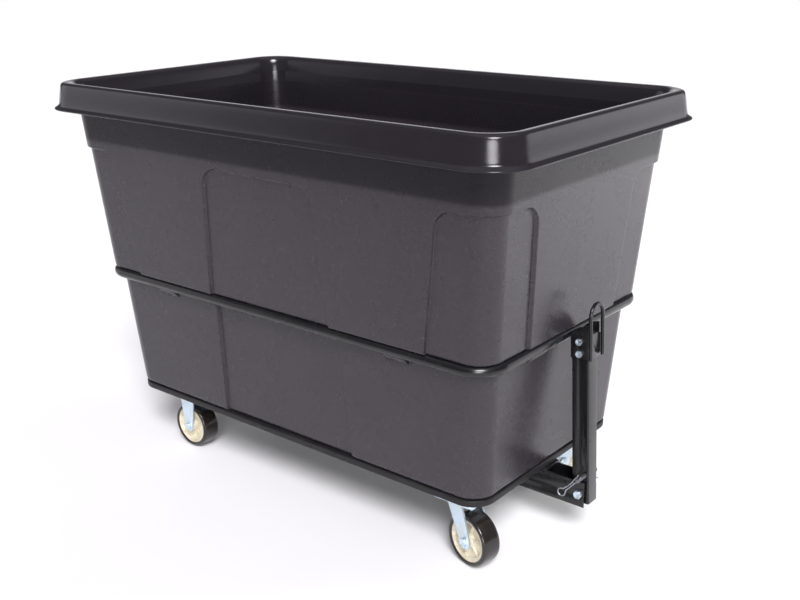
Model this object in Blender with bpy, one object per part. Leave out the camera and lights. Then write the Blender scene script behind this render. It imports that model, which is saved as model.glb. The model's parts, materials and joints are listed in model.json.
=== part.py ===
"""Bulk cube truck: a tapered plastic tub in a round-tube band, on a deck with four casters.

A folding tow bar with a lift loop stands at the +X end. Metres, +Z up; the origin is on the
floor under the middle of the truck.
"""

import math

import bmesh
import bpy
from mathutils import Matrix, Vector

# Overall size and stack heights
GAP = 0.0003  # between touching pieces
OVERALL_LENGTH = 1.460  # over the rim's lip
HALF_DIFFERENCE = 0.293  # half length less half width, from the floor up to the shelf
RIM_HALF_DIFFERENCE = 0.300  # and at the rim
TOP = 1.022
CASTER_HEIGHT = 0.165
DECK_THICKNESS = 0.0157
DECK_BOTTOM = CASTER_HEIGHT + GAP
DECK_TOP = DECK_BOTTOM + DECK_THICKNESS
TUB_BOTTOM = DECK_TOP + GAP

# Tub: half lengths of its outer wall, and its shelf
WALL = 0.0065
LIP_HALF = OVERALL_LENGTH / 2
SHELF_Z = 0.5242
SHELF_HALF = 0.640
UPPER_DRAFT = 0.0804  # metres outward per metre up
LOWER_HALF = 0.6165  # just under the shelf
LOWER_DRAFT = 0.0703
UPPER_CORNER = 0.065
LOWER_CORNER = 0.059
FLOOR_FILLET = 0.012
INNER_FILLET = 0.003
CORNER_STEPS = 6
SKIRT_TOP = 1.010
SKIRT_BOTTOM = 0.9535

# Recessed panels moulded in the walls
PANEL_DEPTH = 0.008
PANEL_RAMP = 0.004
PANEL_BASE = 0.530
PANEL_TOP = 0.853
PANEL_ROUND = 0.045
MIDDLE_PANEL_LOW = (0.222, 0.04)  # half width at the floor, and what it loses per metre up
MIDDLE_PANEL_HIGH = (0.202, 0.078)  # the same from the shelf up
CORNER_PANEL_SIDE = (0.47458, 0.14)  # start on a long side at the shelf, and its gain per metre up
CORNER_PANEL_END = (0.183, 0.07)  # the same on an end
LUG_LENGTH = 0.060
LUG_HEIGHT = 0.020
LUG_REACH = 0.015
SIDE_LUG_X = 0.385
END_LUG_Y = 0.125

# Band round the tub, under the shelf
BAND_RADIUS = 0.0127
BAND_HALF = 0.6297
BAND_Z = SHELF_Z - BAND_RADIUS - GAP
BAND_CORNER = 0.070

# Casters
WHEEL_RADIUS = 0.0635
TREAD_HALF = 0.025
TREAD_EDGE = 0.005
HUB_RADIUS = 0.052
HUB_HALF = 0.0225
HUB_RIM_INNER = 0.045
DISH_RADII = (0.043, 0.017)  # the hub's thin middle, between its rim and its boss
DISH_HALF = 0.012
BOSS_RADIUS = 0.0155
BOSS_HALF = 0.0255
LEG_INNER = 0.0265
LEG_THICKNESS = 0.0045
RIGID_LEG = (0.0295, 0.016)  # half width at the top, and radius of the round end
SWIVEL_LEG = (0.025, 0.0185)
AXLE_RADIUS = 0.006
AXLE_HEX = 0.010  # over the corners of the head and the nut, from the middle
RUNNING = 0.0005  # radial clearance of a faceted hole round its shaft
RIGID_Y = 0.233
RIGID_X = -0.432
SWIVEL_Y = 0.243
SWIVEL_X = 0.512
TRAIL = 0.034
SWIVEL_TURN_RIGHT = math.radians(-12.3)  # how far each swivel fork has turned from trailing along +X
SWIVEL_TURN_LEFT = math.radians(-130.0)
PLATE_X = 0.114
PLATE_Y = 0.1016
PLATE_THICKNESS = 0.005
PLATE_CORNER = 0.014
RACE_RADIUS = 0.030
CROWN_RADIUS = 0.036
CROWN_TOP = 0.1515
CROWN_THICKNESS = 0.005
BOLT_SPACING_X = 0.088
BOLT_SPACING_Y = 0.0666
BOLT_RADIUS = 0.004

# Hitch channel and tow bar
CHANNEL_START = -0.400
CHANNEL_END = 0.700
CHANNEL_HALF = 0.0285
CHANNEL_HEIGHT = 0.066
CHANNEL_STEEL = 0.0045
PAD_TOP = DECK_BOTTOM - GAP
PAD_HALF = 0.0275
PAD_THICKNESS = 0.0075
CHANNEL_TOP = PAD_TOP - PAD_THICKNESS
WEB_END = 0.648
CHANNEL_BOLTS_X = (-0.34, 0.08, 0.555)
PADS_X = ((-0.375, -0.305), (0.045, 0.115), (0.530, 0.600))
PIVOT = Vector((0.6863, 0.0, 0.1253))
BAR_LEAN = math.radians(2.75)
BAR_HALF_X = 0.0222
BAR_HALF_Y = 0.0200
BAR_STEEL = 0.003
BAR_BELOW = 0.0252
BAR_ABOVE = 0.397
PIVOT_RADIUS = 0.006
PIVOT_HEX = 0.0108
SPACER_RADIUS = 0.012
SLEEVE_BOTTOM = 0.3365
SLEEVE_WEB_TOP = 0.395
SLEEVE_TOP = 0.420
SLEEVE_SLOPE = ((-0.030, 0.3855), (0.002, 0.412), (0.030, 0.4185))  # x and z of the cheeks' top edge
SLEEVE_STEEL = 0.0035
SLEEVE_BOLTS_Z = (0.348, 0.377)
ROD_RADIUS = 0.0045
LOOP_HALF = 0.027
LOOP_BOTTOM = 0.339
LOOP_STRAIGHT = 0.438
LOCK_X = 0.0125
LOCK_Z = 0.0484
LOCK_RADIUS = 0.005
LOCK_NEAR = -0.058
CLIP_Y = -0.050
CLIP_WIRE = 0.0016
CLIP_ANGLE = math.radians(47.0)
CLIP_NECK = 0.052
CLIP_RING = 0.0095


# ---------- helpers ----------

def clear_scene():
    for obj in list(bpy.data.objects):
        bpy.data.objects.remove(obj, do_unlink=True)


def make_material(name, colour, roughness, metallic=0.0):
    mat = bpy.data.materials.new(name)
    mat.use_nodes = True
    shader = mat.node_tree.nodes["Principled BSDF"]
    shader.inputs["Base Color"].default_value = (*colour, 1.0)
    shader.inputs["Roughness"].default_value = roughness
    shader.inputs["Metallic"].default_value = metallic
    return mat


def add_object(name, mesh, material):
    obj = bpy.data.objects.new(name, mesh)
    mesh.materials.append(material)
    bpy.context.scene.collection.objects.link(obj)
    return obj


def helper(name, mesh):
    """An object that only cuts or joins: it isn't a piece."""
    obj = bpy.data.objects.new(name, mesh)
    bpy.context.scene.collection.objects.link(obj)
    obj.hide_render = True
    obj.display_type = "WIRE"
    return obj


def boolean(obj, other, operation="DIFFERENCE"):
    modifier = obj.modifiers.new(f"{operation.lower()} {other.name}", "BOOLEAN")
    modifier.operation = operation
    modifier.solver = "EXACT"
    modifier.object = other
    return modifier


def hang(parent, objects):
    for obj in objects:
        obj.parent = parent


def mesh_from(name, bm):
    bmesh.ops.recalc_face_normals(bm, faces=bm.faces)
    mesh = bpy.data.meshes.new(name)
    bm.to_mesh(mesh)
    bm.free()
    mesh.shade_smooth()
    mesh.set_sharp_from_angle(angle=math.radians(35))
    return mesh


def loft(bm, rings):
    """Closed skin through rings of equal length, with a flat cap at each end."""
    loops = [[bm.verts.new(point) for point in ring] for ring in rings]
    for low, high in zip(loops, loops[1:]):
        for i in range(len(low)):
            j = (i + 1) % len(low)
            bm.faces.new((low[i], low[j], high[j], high[i]))
    bm.faces.new(loops[0][::-1])
    bm.faces.new(loops[-1])


def lofted(name, rings):
    bm = bmesh.new()
    loft(bm, rings)
    return mesh_from(name, bm)


def prisms(name, pieces):
    """One mesh of extruded polygons; each piece is its two end outlines."""
    bm = bmesh.new()
    for start, end in pieces:
        loft(bm, [start, end])
    return mesh_from(name, bm)


def box_piece(low, high):
    corners = [(low[0], low[1]), (high[0], low[1]), (high[0], high[1]), (low[0], high[1])]
    return [(x, y, low[2]) for x, y in corners], [(x, y, high[2]) for x, y in corners]


def round_ring(radius, height, sides, hexagonal=False, phase=0.0):
    """Points of a circle, or of a hexagon with the same number of points, about +Z."""
    points = []
    for i in range(sides):
        angle = phase + 2 * math.pi * i / sides
        reach = radius
        if hexagonal:
            off_corner = (angle - phase + math.pi / 6) % (math.pi / 3) - math.pi / 6
            reach = radius * math.cos(math.pi / 6) / math.cos(math.pi / 6 - abs(off_corner))
        points.append(Vector((reach * math.cos(angle), reach * math.sin(angle), height)))
    return points


def turned(profile, sides, phase=0.0):
    """Rings about +Z through (radius, height, hexagonal) steps."""
    return [round_ring(step[0], step[1], sides, len(step) > 2, phase) for step in profile]


def along_y(rings, centre, sign=1.0):
    """Rings about +Z laid along Y, with +Z turned to sign * Y, and moved to centre."""
    turn = Matrix.Rotation(-sign * math.pi / 2, 4, "X")
    return [[turn @ point + Vector(centre) for point in ring] for ring in rings]


def moved(rings, centre):
    return [[point + Vector(centre) for point in ring] for ring in rings]


def hole_along_y(centre, radius, half_length, sides=12):
    return along_y(turned([(radius, -half_length), (radius, half_length)], sides), centre)


def bolt_profile(radius, head_radius, head_height, length, spare, nut_height=0.0, nut_radius=0.0):
    """Head above zero, shank down through the joint, then the spare thread.

    A bolt with a nut of its own has a round head; one without has a hexagonal head.
    """
    if nut_height:
        head = (head_radius * 0.75, head_height)
        rim = (head_radius, GAP)
    else:
        head = (head_radius * 0.95, head_height, True)
        rim = (head_radius, GAP, True)
    steps = [head, rim, (radius, GAP)]
    if nut_height:
        nut_top = -length - GAP
        nut_bottom = nut_top - nut_height
        steps += [(radius, nut_top), (nut_radius, nut_top, True), (nut_radius, nut_bottom, True)]
        steps += [(radius, nut_bottom)]
    steps += [(radius, -length - GAP - nut_height - spare)]
    return steps


# ---------- tub ----------

def upper_half(z):
    return SHELF_HALF + UPPER_DRAFT * (z - SHELF_Z)


def lower_half(z):
    return LOWER_HALF - LOWER_DRAFT * (BAND_Z - z)


def width_half(half, z):
    """Half width of the tub's outline at height z, from its half length."""
    rise = min(max((z - SHELF_Z) / (SKIRT_TOP - SHELF_Z), 0.0), 1.0)
    return half - HALF_DIFFERENCE - rise * (RIM_HALF_DIFFERENCE - HALF_DIFFERENCE)


def middle_panel_half(z):
    """Half width of the arched panel in the middle of each long side."""
    if z < SHELF_Z:
        base, start, taper = TUB_BOTTOM, *MIDDLE_PANEL_LOW
    else:
        base, start, taper = PANEL_BASE, *MIDDLE_PANEL_HIGH
    return start - taper * (z - base)


def corner_panel_x(z):
    """Where the corner panel starts on a long side."""
    start, gain = CORNER_PANEL_SIDE
    return start + gain * (z - PANEL_BASE)


def corner_panel_y(z):
    """Where the corner panel starts on an end."""
    start, gain = CORNER_PANEL_END
    return start + gain * (z - PANEL_BASE)


def panel_round(z):
    """How far a panel's edge moves in near its rounded top corners."""
    drop = min(max(PANEL_TOP - z, 0.0), PANEL_ROUND)
    return PANEL_ROUND - math.sqrt(PANEL_ROUND**2 - (PANEL_ROUND - drop) ** 2)


def tub_ring(half, z, corner, middle_depth=0.0, corner_depth=0.0, inset=0.0, edges_z=None, on_rim=False):
    """Rounded rectangle at height z, with recessed stretches; half is its half length."""
    edges_z = z if edges_z is None else edges_z
    half -= inset
    corner = max(corner - inset, 0.02)
    width = width_half(half, TOP if on_rim else z)
    inward = panel_round(edges_z)
    middle = middle_panel_half(edges_z) - inward
    side_edge = corner_panel_x(edges_z) + inward
    end_edge = corner_panel_y(edges_z) + inward
    quarter = [
        (half, end_edge),
        (half - corner_depth, end_edge + PANEL_RAMP),
    ]
    for step in range(CORNER_STEPS + 1):
        angle = math.pi / 2 * step / CORNER_STEPS
        reach = corner - corner_depth
        quarter.append((half - corner + reach * math.cos(angle), width - corner + reach * math.sin(angle)))
    quarter += [
        (side_edge + PANEL_RAMP, width - corner_depth),
        (side_edge, width),
        (middle, width),
        (middle - PANEL_RAMP, width - middle_depth),
    ]
    points = []
    for sx, sy in ((1, 1), (-1, 1), (-1, -1), (1, -1)):
        stretch = quarter if sx * sy > 0 else quarter[::-1]
        points += [Vector((sx * x, sy * y, z)) for x, y in stretch]
    return points


def wall_rings(inset, lift):
    """The wall from the floor up to the rim: outer face with inset 0, inner face with inset WALL."""
    depth = PANEL_DEPTH
    floor = TUB_BOTTOM + lift
    fillet = INNER_FILLET if inset else FLOOR_FILLET
    shelf = SHELF_Z + lift
    rings = [
        tub_ring(lower_half(floor) - fillet, floor, LOWER_CORNER - fillet, depth, 0, inset),
        tub_ring(lower_half(floor + fillet), floor + fillet, LOWER_CORNER, depth, 0, inset),
        tub_ring(lower_half(shelf), shelf, LOWER_CORNER, depth, 0, inset, SHELF_Z - 0.001),
        tub_ring(upper_half(shelf), shelf, UPPER_CORNER, depth, depth, inset),
    ]
    for z in (0.808, 0.832, 0.846, PANEL_TOP):
        rings.append(tub_ring(upper_half(z), z, UPPER_CORNER, depth, depth, inset))
    top = PANEL_TOP + PANEL_RAMP
    rings.append(tub_ring(upper_half(top), top, UPPER_CORNER, 0, 0, inset))
    return rings


def rim_rings():
    """From the outer wall out under the skirt, round the lip, over the top and down the inner wall."""
    base = upper_half(SKIRT_TOP)
    lip = LIP_HALF
    steps = [
        (base - 0.0020, 0.985),
        (base + 0.0030, SKIRT_TOP),
        (base + 0.0110, TOP - 0.0065),
        (base + 0.0230, TOP - 0.0065),
        (base + 0.0275, SKIRT_TOP),
        (lip - 0.0175, 0.966),
        (lip - 0.0165, SKIRT_BOTTOM + 0.001),
        (lip - 0.0015, SKIRT_BOTTOM),
        (lip, SKIRT_BOTTOM + 0.002),
        (lip - 0.0015, SKIRT_BOTTOM + 0.005),
        (lip - 0.0085, SKIRT_BOTTOM + 0.008),
        (lip - 0.0110, 0.970),
        (lip - 0.0170, SKIRT_TOP),
        (lip - 0.0210, TOP - 0.003),
        (lip - 0.0280, TOP),
        (lip - 0.0375, TOP),
        (lip - 0.0460, TOP - 0.003),
        (lip - 0.0540, TOP - 0.014),
        (base - 0.0020 - WALL, 0.985),
    ]
    rings = []
    for half, z in steps:
        corner = UPPER_CORNER + 0.7 * (half - base)
        rings.append(tub_ring(half, z, corner, on_rim=True))
    return rings


def lug_pieces():
    """Wedges moulded on the lower wall, just under the band."""
    top = BAND_Z - BAND_RADIUS - GAP
    root = 0.003  # how far a wedge starts inside the wall
    half = lower_half(top)
    pieces = []
    for sign in (-1, 1):
        for centre in (-SIDE_LUG_X, SIDE_LUG_X):
            wall = half - HALF_DIFFERENCE
            section = [(wall - root, top), (wall + LUG_REACH, top), (wall - root, top - LUG_HEIGHT)]
            ends = [[(centre + s * LUG_LENGTH / 2, sign * y, z) for y, z in section] for s in (-1, 1)]
            pieces.append(ends)
        for centre in (-END_LUG_Y, END_LUG_Y):
            section = [(half - root, top), (half + LUG_REACH, top), (half - root, top - LUG_HEIGHT)]
            ends = [[(sign * x, centre + s * LUG_LENGTH / 2, z) for x, z in section] for s in (-1, 1)]
            pieces.append(ends)
    return pieces


def caster_centres():
    return [(x, sign * y) for x, y in ((RIGID_X, RIGID_Y), (SWIVEL_X, SWIVEL_Y)) for sign in (-1, 1)]


def plate_bolt_places(x, y):
    return [
        (x + sx * BOLT_SPACING_X / 2, y + sy * BOLT_SPACING_Y / 2)
        for sx in (-1, 1)
        for sy in (-1, 1)
    ]


def bolt_hole_cutter():
    """Every bolt hole through the tub's floor, the deck, the caster plates and the channel's web."""
    places = [place for centre in caster_centres() for place in plate_bolt_places(*centre)]
    places += [(x, 0.0) for x in CHANNEL_BOLTS_X]
    low = CHANNEL_TOP - CHANNEL_HEIGHT - 0.01
    high = TUB_BOTTOM + WALL + 0.01
    radius = BOLT_RADIUS + RUNNING
    pieces = [moved(turned([(radius, low), (radius, high)], 6), (x, y, 0)) for x, y in places]
    return helper("bolt_hole_cutter", prisms("bolt_hole_cutter", pieces))


def make_tub(material, bolt_holes):
    outer = wall_rings(0.0, 0.0)
    inner = wall_rings(WALL, WALL)
    mesh = lofted("tub", outer + rim_rings() + inner[::-1])
    tub = add_object("tub", mesh, material)
    lugs = helper("tub_lugs", prisms("tub_lugs", lug_pieces()))
    boolean(tub, lugs, "UNION")
    boolean(tub, bolt_holes)


# ---------- band and deck ----------

def rounded_rectangle(half_x, half_y, corner, steps):
    points = []
    for start, sx, sy in ((0, 1, 1), (90, -1, 1), (180, -1, -1), (270, 1, -1)):
        for step in range(steps + 1):
            angle = math.radians(start + 90 * step / steps)
            x = sx * (half_x - corner) + corner * math.cos(angle)
            y = sy * (half_y - corner) + corner * math.sin(angle)
            points.append((x, y))
    return points


def make_band(material):
    """Round steel tube bent to a ring: a closed curve with a round bevel."""
    curve = bpy.data.curves.new("frame_band", "CURVE")
    curve.dimensions = "3D"
    curve.bevel_depth = BAND_RADIUS
    curve.bevel_resolution = 3
    curve.use_fill_caps = True
    points = rounded_rectangle(BAND_HALF, BAND_HALF - HALF_DIFFERENCE, BAND_CORNER, 6)
    spline = curve.splines.new("POLY")
    spline.points.add(len(points) - 1)
    for point, (x, y) in zip(spline.points, points):
        point.co = (x, y, BAND_Z, 1.0)
    spline.use_cyclic_u = True
    band = bpy.data.objects.new("frame_band", curve)
    curve.materials.append(material)
    bpy.context.scene.collection.objects.link(band)


def make_deck(material, bolt_holes):
    half = lower_half(TUB_BOTTOM)
    outline = rounded_rectangle(half, half - HALF_DIFFERENCE, LOWER_CORNER, CORNER_STEPS)
    rings = [[(x, y, z) for x, y in outline] for z in (DECK_BOTTOM, DECK_TOP)]
    deck = add_object("base_deck", lofted("base_deck", rings), material)
    boolean(deck, bolt_holes)


def make_floor_bolt(name, place, bottom, material):
    """Round-head bolt dropped through the tub's floor, with its nut drawn up under the plate or web."""
    top = TUB_BOTTOM + WALL
    profile = bolt_profile(
        radius=BOLT_RADIUS,
        head_radius=0.0085,
        head_height=0.0045,
        length=top - bottom,
        nut_height=0.0065,
        nut_radius=0.0075,
        spare=0.003,
    )
    rings = moved(turned(profile, 6), (place[0], place[1], top))
    add_object(name, lofted(name, rings), material)


# ---------- casters ----------

def make_wheel(name, x, y, tread_material, hub_material):
    """Moulded tread on a dished hub, both turned about the axle."""
    sides = 32
    outside = WHEEL_RADIUS / math.cos(math.pi / sides)  # so that the flats are WHEEL_RADIUS away
    edge = TREAD_EDGE
    step = 0.001  # the tread's and the rim's inner edges stand back this far
    seat = HUB_RADIUS + GAP + RUNNING
    outer = [(seat, -TREAD_HALF + step), (outside - edge, -TREAD_HALF), (outside, -TREAD_HALF + edge)]
    outer += [(outside, TREAD_HALF - edge), (outside - edge, TREAD_HALF), (seat, TREAD_HALF - step)]
    bore = AXLE_RADIUS + RUNNING
    dish_out, dish_in = DISH_RADII
    hub = [(HUB_RIM_INNER, HUB_HALF - step), (HUB_RADIUS, HUB_HALF), (HUB_RADIUS, -HUB_HALF)]
    hub += [(HUB_RIM_INNER, -HUB_HALF + step), (dish_out, -DISH_HALF), (dish_in, -DISH_HALF)]
    hub += [(BOSS_RADIUS, -BOSS_HALF), (bore, -BOSS_HALF), (bore, BOSS_HALF)]
    hub += [(BOSS_RADIUS, BOSS_HALF), (dish_in, DISH_HALF), (dish_out, DISH_HALF)]
    # With a flat at the bottom the wheel stands steady
    phase = math.pi / sides
    centre = (x, y, WHEEL_RADIUS)
    return [
        make_turned_ring(f"{name}_tread", outer, sides, centre, tread_material, phase),
        make_turned_ring(f"{name}_hub", hub[::-1], 20, centre, hub_material, 0.0),
    ]


def make_turned_ring(name, section, sides, centre, material, phase):
    """A closed (radius, along) section swept once round the Y axis through centre."""
    bm = bmesh.new()
    loops = []
    for i in range(sides):
        angle = phase + 2 * math.pi * i / sides
        loops.append([bm.verts.new((r * math.cos(angle), y, r * math.sin(angle))) for r, y in section])
    for i, loop in enumerate(loops):
        following = loops[(i + 1) % sides]
        for j in range(len(loop)):
            k = (j + 1) % len(loop)
            bm.faces.new((loop[j], loop[k], following[k], following[j]))
    obj = add_object(name, mesh_from(name, bm), material)
    obj.location = centre
    return obj


def leg_pieces(x, axle_x, y, top_z, shape):
    """Two upright legs that narrow down to a round end about the axle."""
    top_half, end_radius = shape
    outline = [(x + top_half, top_z), (x - top_half, top_z)]
    for step in range(9):
        angle = math.radians(170 + 200 * step / 8)
        outline.append((axle_x + end_radius * math.cos(angle), WHEEL_RADIUS + end_radius * math.sin(angle)))
    pieces = []
    for sign in (-1, 1):
        inner = y + sign * LEG_INNER
        outer = inner + sign * LEG_THICKNESS
        pieces.append([[(px, side, pz) for px, pz in outline] for side in (inner, outer)])
    return pieces


def axle_hole_cutter(name, x, y):
    rings = hole_along_y((x, y, WHEEL_RADIUS), AXLE_RADIUS + RUNNING, 0.05)
    return helper(f"{name}_axle_cutter", lofted(f"{name}_axle_cutter", rings))


def plate_rings(x, y):
    """Caster plate with rounded corners."""
    outline = rounded_rectangle(PLATE_X / 2, PLATE_Y / 2, PLATE_CORNER, 3)
    heights = (CASTER_HEIGHT - PLATE_THICKNESS, CASTER_HEIGHT)
    return [[(x + px, y + py, z) for px, py in outline] for z in heights]


def make_rigid_fork(name, x, y, material, bolt_holes):
    """Mounting plate and legs pressed from one sheet."""
    fork = add_object(f"{name}_fork", lofted(f"{name}_fork", plate_rings(x, y)), material)
    legs = leg_pieces(x, x, y, CASTER_HEIGHT - PLATE_THICKNESS / 2, RIGID_LEG)
    boolean(fork, helper(f"{name}_legs", prisms(f"{name}_legs", legs)), "UNION")
    boolean(fork, bolt_holes)
    boolean(fork, axle_hole_cutter(name, x, y))


def make_swivel_plate(name, x, y, material, bolt_holes):
    """Mounting plate with its raceway boss, bored for the kingpin."""
    plate = add_object(f"{name}_plate", lofted(f"{name}_plate", plate_rings(x, y)), material)
    boss = turned([(RACE_RADIUS, CROWN_TOP + GAP), (RACE_RADIUS + 0.006, CASTER_HEIGHT - 0.004)], 20)
    boolean(plate, helper(f"{name}_race", lofted(f"{name}_race", moved(boss, (x, y, 0)))), "UNION")
    bore = turned([(AXLE_RADIUS + RUNNING, 0.14), (AXLE_RADIUS + RUNNING, CASTER_HEIGHT - 0.0015)], 12)
    boolean(plate, helper(f"{name}_bore", lofted(f"{name}_bore", moved(bore, (x, y, 0)))))
    boolean(plate, bolt_holes)


def make_swivel_fork(name, material):
    """Crown disc and raked legs about the swivel axis at zero, trailing along +X."""
    crown_bottom = CROWN_TOP - CROWN_THICKNESS
    crown = turned([(CROWN_RADIUS, crown_bottom), (CROWN_RADIUS, CROWN_TOP)], 20)
    fork = add_object(f"{name}_fork", lofted(f"{name}_fork", crown), material)
    pieces = leg_pieces(0.0, TRAIL, 0.0, crown_bottom + 0.003, SWIVEL_LEG)
    legs = helper(f"{name}_legs", prisms(f"{name}_legs", pieces))
    bore = turned([(AXLE_RADIUS + RUNNING, 0.14), (AXLE_RADIUS + RUNNING, 0.16)], 12)
    crown_bore = helper(f"{name}_crown_bore", lofted(f"{name}_crown_bore", bore))
    axle_hole = axle_hole_cutter(name, TRAIL, 0.0)
    boolean(fork, legs, "UNION")
    boolean(fork, crown_bore)
    boolean(fork, axle_hole)
    return [fork, legs, crown_bore, axle_hole]


def make_kingpin(name, x, y, material):
    head_top = CROWN_TOP - CROWN_THICKNESS - GAP
    profile = [(0.009, head_top - 0.006), (0.011, head_top - 0.0045), (0.011, head_top)]
    profile += [(AXLE_RADIUS, head_top), (AXLE_RADIUS, CASTER_HEIGHT - 0.0018)]
    mesh = lofted(f"{name}_kingpin", moved(turned(profile, 12), (x, y, 0)))
    add_object(f"{name}_kingpin", mesh, material)


def make_axle(name, x, y, outward, material):
    """Axle bolt with its head toward outward * Y, and its nut on the other side."""
    reach = LEG_INNER + LEG_THICKNESS
    centre = (x, y + outward * reach, WHEEL_RADIUS)
    profile = bolt_profile(
        radius=AXLE_RADIUS,
        head_radius=AXLE_HEX,
        head_height=0.0055,
        length=2 * reach,
        spare=0.013,
    )
    mesh = lofted(f"{name}_axle_bolt", along_y(turned(profile, 12), centre, outward))
    bolt = add_object(f"{name}_axle_bolt", mesh, material)
    face = (x, y - outward * (reach + GAP), WHEEL_RADIUS)
    nut = make_nut(f"{name}_axle_nut", face, -outward, AXLE_HEX, 0.008, AXLE_RADIUS, material)
    return [bolt, nut]


def make_nut(name, face, sign, radius, height, bore, material):
    """Hexagon nut standing off face along sign * Y, bored through."""
    bm = bmesh.new()
    corners = [round_ring(radius, h, 12, True) for h in (0.0, height)]
    inner = [round_ring(bore + GAP, h, 12) for h in (0.0, height)]
    loops = [corners[0], corners[1], inner[1], inner[0]]
    loops = [[bm.verts.new(p) for p in loop] for loop in loops]
    for k, loop in enumerate(loops):
        following = loops[(k + 1) % 4]
        for i in range(12):
            j = (i + 1) % 12
            bm.faces.new((loop[i], loop[j], following[j], following[i]))
    mesh = mesh_from(name, bm)
    mesh.transform(Matrix.Translation(face) @ Matrix.Rotation(-sign * math.pi / 2, 4, "X"))
    return add_object(name, mesh, material)


def make_swivel_caster(name, x, y, turn, outward, materials, bolt_holes):
    """The fork, wheel and axle hang on an empty on the swivel axis, which holds their turn at rest."""
    zinc = materials["zinc"]
    make_swivel_plate(name, x, y, zinc, bolt_holes)
    make_kingpin(name, x, y, zinc)
    swivel = bpy.data.objects.new(f"{name}_swivel", None)
    bpy.context.scene.collection.objects.link(swivel)
    swivel.location = (x, y, 0.0)
    swivel.rotation_euler = (0.0, 0.0, turn)
    pieces = make_swivel_fork(name, zinc)
    pieces += make_wheel(name, TRAIL, 0.0, materials["tread"], materials["hub"])
    pieces += make_axle(name, TRAIL, 0.0, outward, zinc)
    hang(swivel, pieces)


def make_casters(materials, bolt_holes):
    zinc = materials["zinc"]
    for x, y in caster_centres():
        end = "front" if x > 0 else "rear"
        side, outward = ("left", 1.0) if y > 0 else ("right", -1.0)
        name = f"{end}_{side}"
        if x > 0:
            turn = SWIVEL_TURN_LEFT if y > 0 else SWIVEL_TURN_RIGHT
            make_swivel_caster(name, x, y, turn, outward, materials, bolt_holes)
        else:
            make_rigid_fork(name, x, y, zinc, bolt_holes)
            make_wheel(name, x, y, materials["tread"], materials["hub"])
            make_axle(name, x, y, outward, zinc)
        for number, place in enumerate(plate_bolt_places(x, y), 1):
            bottom = CASTER_HEIGHT - PLATE_THICKNESS
            make_floor_bolt(f"{name}_plate_bolt_{number}", place, bottom, zinc)


# ---------- hitch ----------

def make_channel(material, bolt_holes):
    """Steel channel, open side up, with pads under the deck and its web cut back for the tow bar's foot."""
    low = CHANNEL_TOP - CHANNEL_HEIGHT
    inner = CHANNEL_HALF - CHANNEL_STEEL
    section = [(-CHANNEL_HALF, CHANNEL_TOP), (-CHANNEL_HALF, low), (CHANNEL_HALF, low)]
    section += [(CHANNEL_HALF, CHANNEL_TOP), (inner, CHANNEL_TOP), (inner, low + CHANNEL_STEEL)]
    section += [(-inner, low + CHANNEL_STEEL), (-inner, CHANNEL_TOP)]
    ends = [[(x, y, z) for y, z in section] for x in (CHANNEL_START, CHANNEL_END)]
    channel = add_object("hitch_channel", prisms("hitch_channel", [ends]), material)
    sunk = 0.001  # how far a pad is let into the flanges
    pads = [box_piece((x0, -PAD_HALF, CHANNEL_TOP - sunk), (x1, PAD_HALF, PAD_TOP)) for x0, x1 in PADS_X]
    boolean(channel, helper("channel_pads", prisms("channel_pads", pads)), "UNION")
    web = box_piece((WEB_END, -inner, low - 0.01), (CHANNEL_END + 0.01, inner, low + CHANNEL_STEEL + 0.01))
    boolean(channel, helper("web_cutter", prisms("web_cutter", [web])))
    boolean(channel, bolt_holes)
    hole = hole_along_y(PIVOT, PIVOT_RADIUS + RUNNING, CHANNEL_HALF + 0.01)
    boolean(channel, helper("channel_pivot_cutter", lofted("channel_pivot_cutter", hole)))
    for number, x in enumerate(CHANNEL_BOLTS_X, 1):
        make_floor_bolt(f"channel_bolt_{number}", (x, 0.0), low, bpy.data.materials["zinc"])


def make_tow_bar(material, pivot):
    """Square tube on the pivot; its own frame has the pivot at zero and the tube along +Z."""
    low = (-BAR_HALF_X, -BAR_HALF_Y, -BAR_BELOW)
    high = (BAR_HALF_X, BAR_HALF_Y, BAR_ABOVE)
    bar = add_object("tow_bar", prisms("tow_bar", [box_piece(low, high)]), material)
    inner_x = BAR_HALF_X - BAR_STEEL
    inner_y = BAR_HALF_Y - BAR_STEEL
    bore = box_piece((-inner_x, -inner_y, -BAR_BELOW - 0.01), (inner_x, inner_y, BAR_ABOVE + 0.01))
    bore_helper = helper("tow_bar_bore", prisms("tow_bar_bore", [bore]))
    places = [(0, 0, 0, PIVOT_RADIUS), (LOCK_X, 0, LOCK_Z, LOCK_RADIUS)]
    places += [(0, 0, z, BOLT_RADIUS) for z in SLEEVE_BOLTS_Z]
    holes = [hole_along_y((x, y, z), radius + RUNNING, 0.04) for x, y, z, radius in places]
    hole_helper = helper("tow_bar_holes", prisms("tow_bar_holes", holes))
    boolean(bar, bore_helper)
    boolean(bar, hole_helper)
    hang(pivot, (bar, bore_helper, hole_helper))


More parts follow.
